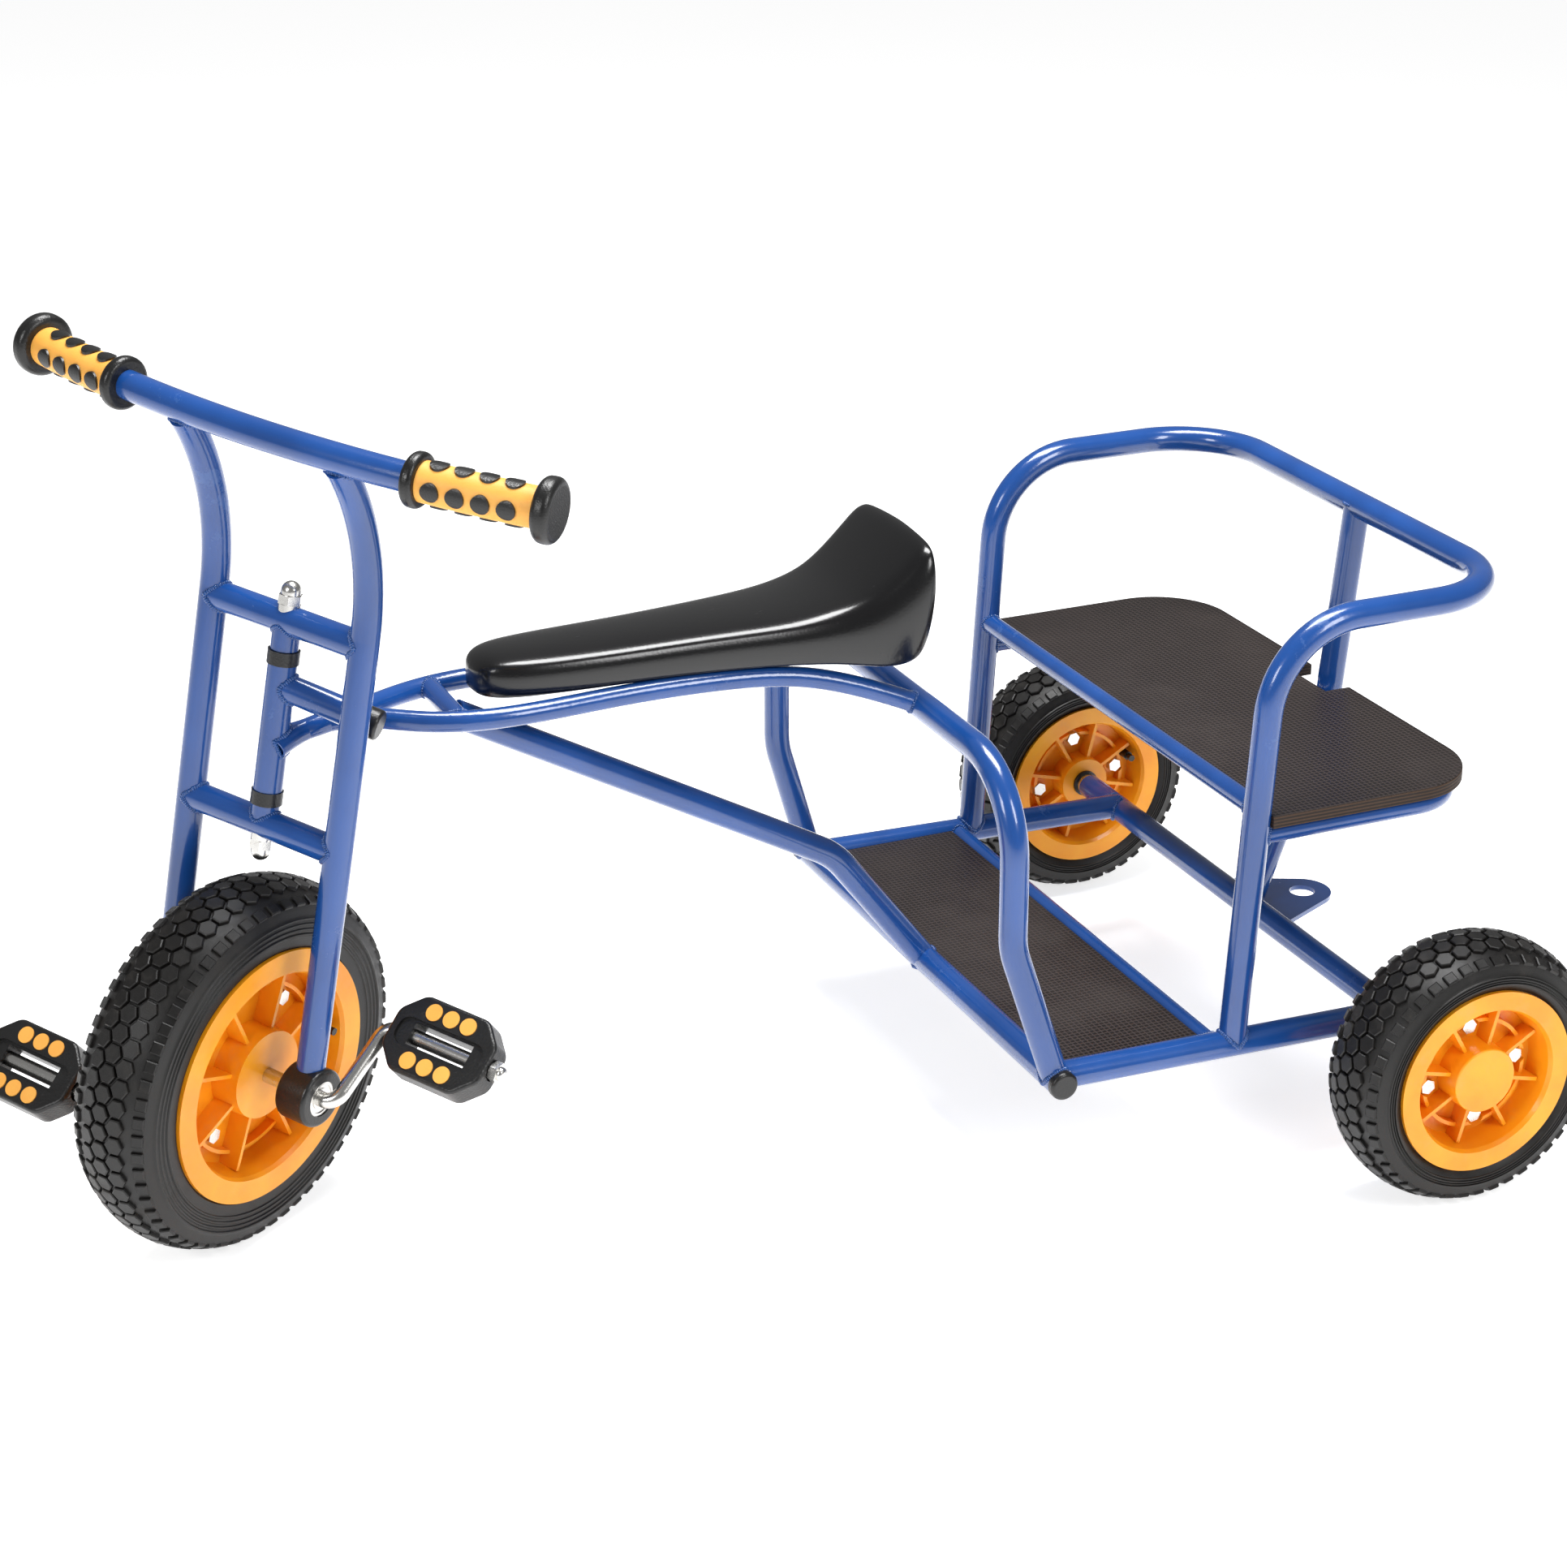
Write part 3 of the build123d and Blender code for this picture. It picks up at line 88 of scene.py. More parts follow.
# %% [markdown]
# ## Where the wheels and the steering sit
# Every wheel turns about a joint of the record, so a joint's position and axis give the place of the
# whole wheel. A 4x4 matrix for each wheel lets a tyre be built flat about its own X axis and then be
# carried to its fork.

# %% Wheel places from the joints
JOINTS = {j["name"]: j for j in frame["joints"]}


def wheel_place(joint_name):
    """Matrix that takes a wheel built about X at the origin to its axle."""
    joint = JOINTS[joint_name]
    axle = Vector(joint["axis"]).normalized()
    up = Vector(JOINTS["steering_turn"]["axis"]) if joint["parent"] == "steering" else Vector((0, 0, 1))
    up = (up - axle * up.dot(axle)).normalized()
    back = up.cross(axle)
    turn = Matrix((axle, back, up)).transposed().to_4x4()
    return Matrix.Translation(joint["pos_m"]) @ turn


WHEELS = {
    "front_wheel": wheel_place("front_wheel_spin"),
    "rear_wheel_left": wheel_place("rear_wheel_left_spin"),
    "rear_wheel_right": wheel_place("rear_wheel_right_spin"),
}
print("wheels at", {k: [round(c, 3) for c in m.translation] for k, m in WHEELS.items()})

# %% [markdown]
# ## Shader maths as plain expressions
# A finish is a picture made of noise and masks. Written with raw nodes it is long and hard to
# read, so one small class wraps a socket and lets `a * b + 0.2` build the Math nodes.

# %% A socket that can be added and multiplied
class Value:
    """A number that varies over a surface, held by a node's output socket."""

    def __init__(self, finish, socket):
        self.finish = finish
        self.socket = socket

    def _math(self, operation, *others):
        return self.finish.node("ShaderNodeMath", {"operation": operation}, self, *others)

    def __add__(self, other):
        return self._math("ADD", other)

    __radd__ = __add__

    def __rsub__(self, other):
        return self.finish.node("ShaderNodeMath", {"operation": "SUBTRACT"}, other, self)

    def __mul__(self, other):
        return self._math("MULTIPLY", other)

    __rmul__ = __mul__

    def highest(self, other):
        return self._math("MAXIMUM", other)

    def sine(self):
        return self._math("SINE")

    def absolute(self):
        return self._math("ABSOLUTE")


class Finish:
    """One material, built up from patterns on Object coordinates."""

    def __init__(self, name, color, roughness, metallic=0.0, coat=0.0, specular=0.5):
        self.material = bpy.data.materials.new(name)
        self.material.use_nodes = True
        self.material.diffuse_color = (*color, 1)
        self.tree = self.material.node_tree
        self.shader = self.tree.nodes["Principled BSDF"]
        self.set("Base Color", (*color, 1))
        self.set("Roughness", roughness)
        self.set("Metallic", metallic)
        self.set("Coat Weight", coat)
        self.set("Specular IOR Level", specular)
        self.place = self.node("ShaderNodeTexCoord", {}, out="Object")

    def set(self, socket, value):
        self.shader.inputs[socket].default_value = value

    def feed(self, socket, value):
        self.tree.links.new(value.socket, self.shader.inputs[socket])

    def node(self, kind, settings, *values, out=0, **named):
        """Adds a node: settings first, then the values or links of its sockets."""
        made = self.tree.nodes.new(kind)
        for key, setting in settings.items():
            setattr(made, key, setting)
        slots = list(enumerate(values)) + [(k.replace("_", " "), v) for k, v in named.items()]
        for key, value in slots:
            socket = made.inputs[key]
            if isinstance(value, Value):
                self.tree.links.new(value.socket, socket)
            else:
                socket.default_value = value
        return Value(self, made.outputs[out])

    def noise(self, scale, detail=3.0, rough=0.55, place=None):
        return self.node("ShaderNodeTexNoise", {}, out="Fac", Vector=place or self.place,
                         Scale=scale, Detail=detail, Roughness=rough)

    def soft_cells(self, scale):
        """Rounded cells, like the grain of moulded leather."""
        return self.node("ShaderNodeTexVoronoi", {"feature": "SMOOTH_F1"}, out="Distance",
                         Vector=self.place, Scale=scale)

    def stretched(self, x, y, z):
        """Object coordinates scaled by axis, for grain that runs one way."""
        return self.node("ShaderNodeMapping", {}, Vector=self.place, Scale=(x, y, z))

    def band(self, value, low, high):
        """0 below low, 1 above high, smooth between."""
        return self.node("ShaderNodeMapRange", {"interpolation_type": "SMOOTHSTEP"},
                         Value=value, From_Min=low, From_Max=high)

    def mix(self, mask, first, second):
        """The first colour where the mask is 0, and the second where it is 1."""
        made = self.tree.nodes.new("ShaderNodeMix")
        made.data_type = "RGBA"
        for socket, value in ((made.inputs[0], mask), (made.inputs[6], first), (made.inputs[7], second)):
            if isinstance(value, Value):
                self.tree.links.new(value.socket, socket)
            elif socket.type == "RGBA":
                socket.default_value = (*value, 1)
            else:
                socket.default_value = value
        return Value(self, made.outputs[2])

    def bump(self, height, depth, strength):
        return self.node("ShaderNodeBump", {}, Height=height, Distance=depth, Strength=strength)


# %% [markdown]
# ## Finishes
# The frame is powder coated: a thick, glossy blue skin with a faint orange-peel ripple and tiny scuffs.
# The rims are moulded in orange nylon, which is glossy but soft-looking because light
# goes a little way in. Rubber is nearly black and scatters light widely.

# %% Blue powder coat
def blue_powder_coat():
    f = Finish("blue_powder_coat", (0.010, 0.075, 0.28), 0.22, coat=0.6)
    f.set("Coat Roughness", 0.06)
    cloud = f.noise(9.0, 3.0)
    speck = f.noise(900.0, 2.0)
    scuff = f.band(f.noise(60.0, 6.0, 0.7) * f.noise(7.0, 2.0), 0.36, 0.44)
    tone = f.mix(f.band(cloud, 0.35, 0.7), (0.007, 0.056, 0.24), (0.010, 0.074, 0.31))
    tone = f.mix(scuff * 0.35, tone, (0.07, 0.16, 0.40))
    f.feed("Base Color", tone)
    f.feed("Roughness", 0.17 + cloud * 0.06 + speck * 0.05 + scuff * 0.22)
    peel = f.noise(420.0, 2.0, 0.5)
    f.feed("Normal", f.bump(peel, 0.00022, 0.35))
    return f.material


def weld_coat():
    f = Finish("blue_weld_coat", (0.010, 0.070, 0.27), 0.26, coat=0.5)
    f.set("Coat Roughness", 0.09)
    lump = f.noise(350.0, 3.0)
    f.feed("Base Color", f.mix(lump, (0.007, 0.055, 0.22), (0.013, 0.082, 0.31)))
    f.feed("Roughness", 0.2 + lump * 0.14)
    f.feed("Normal", f.bump(lump, 0.0006, 0.5))
    return f.material


# %% Moulded plastics
def orange_nylon():
    f = Finish("orange_nylon", (0.93, 0.36, 0.018), 0.32, coat=0.1, specular=0.4)
    f.set("Subsurface Weight", 0.12)
    f.set("Subsurface Radius", (0.006, 0.003, 0.001))
    f.set("Subsurface Scale", 1.0)
    cloud = f.noise(14.0, 4.0)
    flow = f.noise(90.0, 5.0, 0.6)
    dust = f.band(f.noise(38.0, 6.0, 0.65), 0.52, 0.75)
    tone = f.mix(f.band(cloud, 0.3, 0.72), (0.88, 0.29, 0.006), (0.95, 0.39, 0.010))
    tone = f.mix(dust * 0.25, tone, (0.70, 0.36, 0.13))
    f.feed("Base Color", tone)
    f.feed("Roughness", 0.24 + flow * 0.16 + dust * 0.12)
    f.feed("Normal", f.bump(f.noise(700.0, 3.0), 0.00025, 0.4))
    return f.material


def black_plastic(name="black_plastic", base=0.006, rough=0.34, grain=900.0, depth=0.0004):
    f = Finish(name, (base, base, base * 1.05), rough)
    cloud = f.noise(25.0, 4.0)
    leather = f.soft_cells(grain)
    wear = f.band(f.noise(75.0, 6.0, 0.7), 0.58, 0.8)
    tone = f.mix(cloud, (base * 0.7,) * 3, (base * 1.6,) * 3)
    f.feed("Base Color", f.mix(wear * 0.5, tone, (base * 4.5, base * 4.4, base * 4.3)))
    f.feed("Roughness", (rough - 0.08) + cloud * 0.12 + wear * 0.1)
    f.feed("Normal", f.bump(leather, depth, 0.35))
    return f.material


def saddle_plastic():
    f = Finish("saddle_plastic", (0.004, 0.004, 0.0045), 0.2, coat=0.25, specular=0.45)
    f.set("Coat Roughness", 0.1)
    cloud = f.noise(7.0, 3.0)
    hair = f.noise(160.0, 6.0, 0.75, f.stretched(1.0, 0.12, 1.0))
    scratch = f.band(hair, 0.66, 0.72)
    f.feed("Base Color", f.mix(scratch * 0.4, (0.0035, 0.0035, 0.004), (0.03, 0.03, 0.032)))
    f.feed("Roughness", 0.14 + cloud * 0.14 + scratch * 0.25)
    f.feed("Normal", f.bump(f.noise(520.0, 3.0), 0.0003, 0.35))
    return f.material


# %% Rubber
def tyre_rubber():
    f = Finish("tyre_rubber", (0.010, 0.0095, 0.009), 0.5, specular=0.38)
    cloud = f.noise(18.0, 5.0, 0.6)
    fine = f.noise(1400.0, 3.0)
    dust = f.band(f.noise(50.0, 6.0, 0.7), 0.48, 0.72)
    tone = f.mix(cloud, (0.003, 0.0028, 0.0026), (0.009, 0.008, 0.0072))
    f.feed("Base Color", f.mix(dust * 0.3, tone, (0.040, 0.034, 0.028)))
    f.feed("Roughness", 0.34 + cloud * 0.12 + dust * 0.16)
    f.feed("Normal", f.bump(fine + cloud * 2.0, 0.0004, 0.4))
    return f.material


def grip_rubber():
    f = Finish("grip_rubber", (0.93, 0.43, 0.09), 0.5)
    f.set("Subsurface Weight", 0.15)
    f.set("Subsurface Radius", (0.004, 0.002, 0.001))
    cloud = f.noise(40.0, 5.0, 0.6)
    grime = f.band(f.noise(120.0, 6.0, 0.7), 0.55, 0.8)
    tone = f.mix(cloud, (0.88, 0.38, 0.055), (0.96, 0.50, 0.10))
    f.feed("Base Color", f.mix(grime * 0.25, tone, (0.55, 0.30, 0.12)))
    f.feed("Roughness", 0.42 + cloud * 0.14 + grime * 0.1)
    f.feed("Normal", f.bump(f.noise(1600.0, 2.0), 0.0003, 0.4))
    return f.material


# %% Zinc-plated steel
def zinc_steel():
    f = Finish("zinc_steel", (0.66, 0.65, 0.62), 0.24, metallic=1.0)
    cloud = f.noise(60.0, 4.0)
    brush = f.noise(500.0, 5.0, 0.7, f.stretched(0.15, 1.0, 1.0))
    stain = f.band(f.noise(140.0, 6.0, 0.7), 0.56, 0.78)
    tone = f.mix(cloud, (0.58, 0.57, 0.55), (0.74, 0.73, 0.70))
    f.feed("Base Color", f.mix(stain * 0.4, tone, (0.42, 0.36, 0.27)))
    f.feed("Roughness", 0.16 + brush * 0.16 + stain * 0.2)
    f.feed("Normal", f.bump(brush, 0.0002, 0.25))
    return f.material


# %% [markdown]
# The boards are film-faced plywood. Its top carries a pressed mesh that stops feet slipping: two sets
# of fine ridges crossing at right angles. The cut edge shows the layers of veneer under brown sealer.

# %% Anti-slip plywood
RIDGE_PITCH = 0.0044
VENEER_PITCH = 0.0028


def antislip_ply():
    f = Finish("antislip_ply", (0.030, 0.022, 0.019), 0.45, specular=0.35)
    split = f.node("ShaderNodeSeparateXYZ", {}, f.place, out="X")
    parts = split.socket.node
    x = Value(f, parts.outputs["X"])
    y = Value(f, parts.outputs["Y"])
    z = Value(f, parts.outputs["Z"])
    ridge_turns = 2 * math.pi / RIDGE_PITCH
    wave_x = (x * ridge_turns).sine()
    wave_y = (y * ridge_turns).sine()
    ridges_and_groove_shade = f.band(wave_x.highest(wave_y), 0.35, 0.95)
    facing = f.node("ShaderNodeNewGeometry", {}, out="Normal")
    up_part = f.node("ShaderNodeSeparateXYZ", {}, facing, out="Z").absolute()
    top = f.band(up_part, 0.6, 0.9)
    worn = f.band(f.noise(6.0, 6.0, 0.6), 0.45, 0.72)
    # Painted shade: the grooves between the ridges get a near-black brown and the ridge tops a lighter
    # brown, so the pressed mesh shows in the colour as well as in the bump.
    film = f.mix(ridges_and_groove_shade, (0.008, 0.0055, 0.005), (0.046, 0.034, 0.031))
    film = f.mix(worn * 0.3, film, (0.055, 0.042, 0.037))
    layer = (z * (2 * math.pi / VENEER_PITCH)).sine()
    grain = f.noise(240.0, 5.0, 0.6, f.stretched(0.2, 0.2, 3.0))
    veneer = f.mix(f.band(layer + grain, 0.2, 1.0), (0.016, 0.009, 0.006), (0.060, 0.032, 0.018))
    f.feed("Base Color", f.mix(top, veneer, film))
    f.feed("Roughness", 0.34 + worn * 0.2 + (1 - top) * 0.25)
    pressed = ridges_and_groove_shade * top + grain * 0.4 * (1 - top)
    f.feed("Normal", f.bump(pressed, 0.0006, 0.6))
    return f.material


PAINT = blue_powder_coat()
WELD = weld_coat()
NYLON = orange_nylon()
BLACK = black_plastic()
PEDAL_BLACK = black_plastic("pedal_black", 0.008, 0.38, 650.0, 0.0006)
SADDLE = saddle_plastic()
RUBBER = tyre_rubber()
GRIP = grip_rubber()
ZINC = zinc_steel()
PLY = antislip_ply()

# %% Give each CAD piece its finish
BY_SLOT = {
    "blue_paint": PAINT, "black_plastic": BLACK, "saddle_plastic": SADDLE, "rim_orange": NYLON,
    "grip_orange": GRIP, "tyre": RUBBER, "steel": ZINC, "bench_ply": PLY,
}
SLOT_OF = {part["node"]: part["material_slot"] for part in frame["record"]["subparts"]}
for name, node in NODES.items():
    finish = BY_SLOT[SLOT_OF[name]]
    if name.startswith("pedal_") and finish is BLACK:
        finish = PEDAL_BLACK
    node.data.materials.clear()
    node.data.materials.append(finish)
print("finishes on", len(NODES), "nodes")

# %% [markdown]
# ## Geometry Nodes from a script
# A tree of nodes repeats a shape by rule. Small helpers keep the script readable: one adds a node and
# sets its sockets, one declares a named input, and one bakes the result to a plain mesh.

# %% Node-tree helpers
class Rule:
    """A Geometry Nodes tree with named inputs."""

    def __init__(self, name):
        self.tree = bpy.data.node_groups.new(name, "GeometryNodeTree")
        self.tree.interface.new_socket("Geometry", in_out="INPUT", socket_type="NodeSocketGeometry")
        self.tree.interface.new_socket("Geometry", in_out="OUTPUT", socket_type="NodeSocketGeometry")
        self.start = self.tree.nodes.new("NodeGroupInput")
        self.end = self.tree.nodes.new("NodeGroupOutput")

    def named(self, name, kind):
        self.tree.interface.new_socket(name, in_out="INPUT", socket_type=kind)
        return self.start.outputs[name]

    def add(self, kind, settings=None, out=0, **sockets):
        made = self.tree.nodes.new(kind)
        for key, value in (settings or {}).items():
            setattr(made, key, value)
        for key, value in sockets.items():
            socket = made.inputs[int(key[1:])] if key[0] == "n" and key[1:].isdigit() \
                else made.inputs[key.replace("_", " ")]
            if isinstance(value, bpy.types.NodeSocket):
                self.tree.links.new(value, socket)
            else:
                socket.default_value = value
        return made.outputs[out]

    def maths(self, operation, first, second=0.0):
        return self.add("ShaderNodeMath", {"operation": operation}, n0=first, n1=second)

    def close(self, geometry, material):
        """Realize Instances, then Set Material, then out."""
        real = self.add("GeometryNodeRealizeInstances", Geometry=geometry)
        painted = self.add("GeometryNodeSetMaterial", Geometry=real, Material=material)
        self.tree.links.new(painted, self.end.inputs[0])

    def run(self, base, values):
        """The mesh that the rule makes on a base object."""
        step = base.modifiers.new("rule", "NODES")
        step.node_group = self.tree
        for item in self.tree.interface.items_tree:
            if item.in_out == "INPUT" and item.name in values:
                step[item.identifier] = values[item.name]
        bpy.context.view_layer.update()
        graph = bpy.context.evaluated_depsgraph_get()
        mesh = bpy.data.meshes.new_from_object(base.evaluated_get(graph))
        base.modifiers.remove(step)
        return mesh


def scratch_object(name, mesh):
    made = bpy.data.objects.new(name, mesh)
    bpy.context.scene.collection.objects.link(made)
    return made


def forget(*objects):
    for item in objects:
        bpy.data.objects.remove(item, do_unlink=True)


def joined(meshes):
    """One mesh from several."""
    work = bmesh.new()
    for mesh in meshes:
        work.from_mesh(mesh)
    made = bpy.data.meshes.new("joined")
    work.to_mesh(made)
    work.free()
    return made


def show(name, mesh, body, material, nodes=(), smooth=None):
    """Adds a finished piece: it rides on a body and may stand for CAD nodes."""
    piece = scratch_object(name, mesh)
    mesh.materials.clear()
    mesh.materials.append(material)
    if smooth is not None:
        mesh.shade_smooth() if smooth >= math.pi else mesh.set_sharp_from_angle(angle=smooth)
    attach(piece, body)
    if nodes:
        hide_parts(*nodes)
    print(name, len(mesh.polygons), "faces")
    return piece


# %% [markdown]
# ## Tyres
# A tyre is a body of revolution with a pattern. The casing is one outline turned about the axle: bead,
# bulging wall with raised rings, shoulder and crown. The tread is rows of blocks that stand on the
# crown, so a rule places one block for each pitch and leans it to the curve of the crown.

# %% Turn an outline about the X axis
def turned(outline, steps, closed=True):
    """A mesh of revolution about X from (x, r) points."""
    verts = []
    for k in range(steps):
        angle = 2 * math.pi * k / steps
        verts += [(x, r * math.cos(angle), r * math.sin(angle)) for x, r in outline]
    count = len(outline)
    last = count if closed else count - 1
    faces = []
    for k in range(steps):
        here = k * count
        there = (k + 1) % steps * count
        for i in range(last):
            j = (i + 1) % count
            faces.append((here + i, here + j, there + j, there + i))
    mesh = bpy.data.meshes.new("turned")
    mesh.from_pydata(verts, [], faces)
    work = bmesh.new()
    work.from_mesh(mesh)
    bmesh.ops.recalc_face_normals(work, faces=work.faces)
    work.to_mesh(mesh)
    work.free()
    return mesh


CROWN_RADIUS = 0.060
TREAD_DEPTH = 0.0027
WALL_RINGS = 4
CROWN_STEPS = 12


class Tyre:
    """Sizes of one tyre in metres."""

    def __init__(self, radius, half, bead, flange, rim_half, pitches):
        self.radius = radius
        self.half = half
        self.bead = bead
        self.flange = flange
        self.rim_half = rim_half
        self.pitches = pitches
        self.crown = CROWN_RADIUS
        self.depth = TREAD_DEPTH

    def crown_r(self, x, drop=0.0):
        return self.radius - self.crown + math.sqrt(self.crown ** 2 - x * x) - drop

    def outline(self):
        """The casing's closed section: bead, ringed wall and crown, then the same mirrored."""
        shoulder = self.half - 0.0018
        edge = self.crown_r(shoulder, self.depth)
        right = [(self.rim_half, self.bead), (self.rim_half, self.flange + 0.0004),
                 (self.rim_half + 0.0012, self.flange + 0.0016)]
        wall_low = self.flange + 0.0030
        wall_high = edge - 0.006
        pitch = (wall_high - wall_low) * 0.72 / WALL_RINGS
        start = wall_high - pitch * WALL_RINGS
        for k in range(WALL_RINGS):
            r = start + pitch * k
            lean = 0.0008 * math.sin(math.pi * (k + 1) / (WALL_RINGS + 1))
            for part, rise in ((0.10, 0.0), (0.30, 0.0009), (0.55, 0.0009), (0.75, 0.0)):
                right.append((self.half - 0.0022 + lean + rise, r + pitch * part))
        right += [(shoulder - 0.0008, wall_high + 0.001), (shoulder - 0.0014, edge - 0.002)]
        crown = []
        for k in range(CROWN_STEPS + 1):
            x = (shoulder - 0.0028) * math.cos(math.pi * k / (2 * CROWN_STEPS))
            crown.append((x, self.crown_r(x, self.depth)))
        half = right + crown
        return half + [(-x, r) for x, r in reversed(half[:-1])]


FRONT_TYRE = Tyre(radius=0.148, half=0.037, bead=0.092, flange=0.102, rim_half=0.0335, pitches=60)
REAR_TYRE = Tyre(radius=0.110, half=0.036, bead=0.067, flange=0.076, rim_half=0.0305, pitches=45)

# %% One tread block, with a small bevel round its top
BLOCK_BEVEL = 0.0007
BLOCK_TAPER = 0.92
BLOCK_ROOT = 0.002


def block_mesh(name, outline, height):
    """A block on the XY plane from an outline, sunk a little so that it has no gap under it."""
    work = bmesh.new()
    low = [work.verts.new((x, y, -BLOCK_ROOT)) for x, y in outline]
    bottom = work.faces.new(low)
    grown = bmesh.ops.extrude_face_region(work, geom=[bottom])
    top = [v for v in grown["geom"] if isinstance(v, bmesh.types.BMVert)]
    for vert in top:
        vert.co.z = height
        vert.co.x *= BLOCK_TAPER
        vert.co.y *= BLOCK_TAPER
    bmesh.ops.recalc_face_normals(work, faces=work.faces)
    rim = [e for e in work.edges if all(v in top for v in e.verts)]
    bmesh.ops.bevel(work, geom=rim, offset=BLOCK_BEVEL, segments=1, affect="EDGES")
    mesh = bpy.data.meshes.new(name)
    work.to_mesh(mesh)
    work.free()
    return mesh


# %% The rule that sets one row of blocks round the crown
def tread_rule():
    rule = Rule("tread_row")
    count = rule.named("Count", "NodeSocketInt")
    phase = rule.named("Phase", "NodeSocketFloat")
    lean = rule.named("Lean", "NodeSocketFloat")
    crown = rule.named("Crown", "NodeSocketFloat")
    centre = rule.named("Crown Centre", "NodeSocketFloat")
    twist = rule.named("Twist", "NodeSocketFloat")
    block = rule.named("Block", "NodeSocketObject")
    line = rule.add("GeometryNodeMeshLine", {"mode": "OFFSET"}, Count=count, Offset=(0, 0, 0))
    index = rule.add("GeometryNodeInputIndex")
    turn = rule.maths("MULTIPLY", rule.maths("DIVIDE", rule.maths("ADD", index, phase), count),
                      2 * math.pi)
    side = rule.maths("MULTIPLY", crown, rule.maths("SINE", lean))
    radius = rule.maths("ADD", centre, rule.maths("MULTIPLY", crown, rule.maths("COSINE", lean)))
    place = rule.add("ShaderNodeCombineXYZ", X=side,
                     Y=rule.maths("MULTIPLY", radius, rule.maths("COSINE", turn)),
                     Z=rule.maths("MULTIPLY", radius, rule.maths("SINE", turn)))
    points = rule.add("GeometryNodeSetPosition", Geometry=line, Position=place)
    shape = rule.add("GeometryNodeObjectInfo", {"transform_space": "ORIGINAL"}, out="Geometry",
                     Object=block)
    own = rule.add("FunctionNodeEulerToRotation", Euler=rule.add("ShaderNodeCombineXYZ", Y=lean))
    spin = rule.add("FunctionNodeEulerToRotation", Euler=rule.add("ShaderNodeCombineXYZ", Z=twist))
    tilted = rule.add("FunctionNodeRotateRotation", {"rotation_space": "LOCAL"},
                      Rotation=own, Rotate_By=spin)
    about = rule.add("FunctionNodeEulerToRotation", Euler=rule.add(
        "ShaderNodeCombineXYZ", X=rule.maths("SUBTRACT", turn, math.pi / 2)))
    facing = rule.add("FunctionNodeRotateRotation", {"rotation_space": "GLOBAL"},
                      Rotation=tilted, Rotate_By=about)
    rows = rule.add("GeometryNodeInstanceOnPoints", Points=points, Instance=shape, Rotation=facing)
    rule.close(rows, RUBBER)
    return rule


TREAD = tread_rule()


BLOCK_FILL = 0.91
SIDE_TRIM = 0.92
LUG_INNER, LUG_OUTER = -0.0042, 0.0050
LUG_HALF_PITCH = 0.31
LUG_INSET = 0.0072


def tread(tyre):
    """Three staggered rows of hexagons that fit like a honeycomb, and lugs on the shoulders."""
    pitch = 2 * math.pi * tyre.radius / tyre.pitches
    h = tyre.depth
    flat = pitch / 2
    corner = pitch / math.sqrt(3)
    hexagon = []
    for degrees in range(0, 360, 60):
        angle = math.radians(degrees)
        hexagon.append((BLOCK_FILL * corner * math.cos(angle),
                        BLOCK_FILL * flat * math.sin(angle) * 2 / math.sqrt(3)))
    trimmed = [(x * SIDE_TRIM if x > 0 else x, y) for x, y in hexagon]
    reach = pitch * LUG_HALF_PITCH
    lug = [(LUG_INNER, -reach), (LUG_OUTER, -reach), (LUG_OUTER, reach), (LUG_INNER, reach)]
    shapes = [block_mesh("middle_block", hexagon, h), block_mesh("side_block", trimmed, h),
              block_mesh("shoulder_lug", lug, h)]
    holders = [scratch_object("block_%d" % k, mesh) for k, mesh in enumerate(shapes)]
    base = scratch_object("tread_base", bpy.data.meshes.new("tread_base"))
    rows = [(0, 0.0, 0.0, 0.0)]
    for side in (1, -1):
        rows += [(1, side * corner * 1.5, 0.5, 0.0 if side > 0 else math.pi),
                 (2, side * (tyre.half - LUG_INSET), 0.0, 0.0 if side > 0 else math.pi)]
    meshes = []
    for kind, x, phase, twist in rows:
        lean = math.asin(x / tyre.crown)
        meshes.append(TREAD.run(base, {
            "Count": tyre.pitches, "Phase": phase, "Lean": lean, "Crown": tyre.crown - h,
            "Crown Centre": tyre.radius - tyre.crown, "Twist": twist, "Block": holders[kind]}))
    result = joined(meshes)
    forget(base, *holders)
    return result


for body, node, tyre in (("front_wheel", "front_tyre", FRONT_TYRE),
                         ("rear_wheel_left", "rear_tyre_left", REAR_TYRE),
                         ("rear_wheel_right", "rear_tyre_right", REAR_TYRE)):
    casing = turned(tyre.outline(), 128)
    casing.transform(WHEELS[body])
    show(node + "_casing", casing, body, RUBBER, (node,), math.radians(35))
    blocks = tread(tyre)
    blocks.transform(WHEELS[body])
    show(node + "_tread", blocks, body, RUBBER)

# %% [markdown]
# ## Weld beads
# Each coped tube end is welded all round. The bead follows the line where the two tubes touch, so the
# script finds that line on the CAD meshes: the points of one piece that lie on the other's surface.
# A rule then lays one small flattened scale for each pulse of the torch.

# %% Find the seam between two pieces
SEAM_REACH = 0.0006
SEAM_GAP = 0.012
SEAM_SAMPLES = 44
SEAM_WINDOW = 0.30
SEAM_RIM = 0.0012
FIT_STEPS = 30


def surface_tree(node):
    work = bmesh.new()
    work.from_mesh(node.data)
    tree = BVHTree.FromBMesh(work)
    work.free()
    return tree


TREES = {}


def touching_points(tube, other):
    """Points of the first node that lie on the second node's surface."""
    if other not in TREES:
        TREES[other] = surface_tree(NODES[other])
    seen = {}
    for vert in NODES[tube].data.vertices:
        hit = TREES[other].find_nearest(vert.co, SEAM_REACH)
        if hit[0] is not None:
            seen[tuple(round(c, 5) for c in vert.co)] = vert.co.copy()
    return list(seen.values())


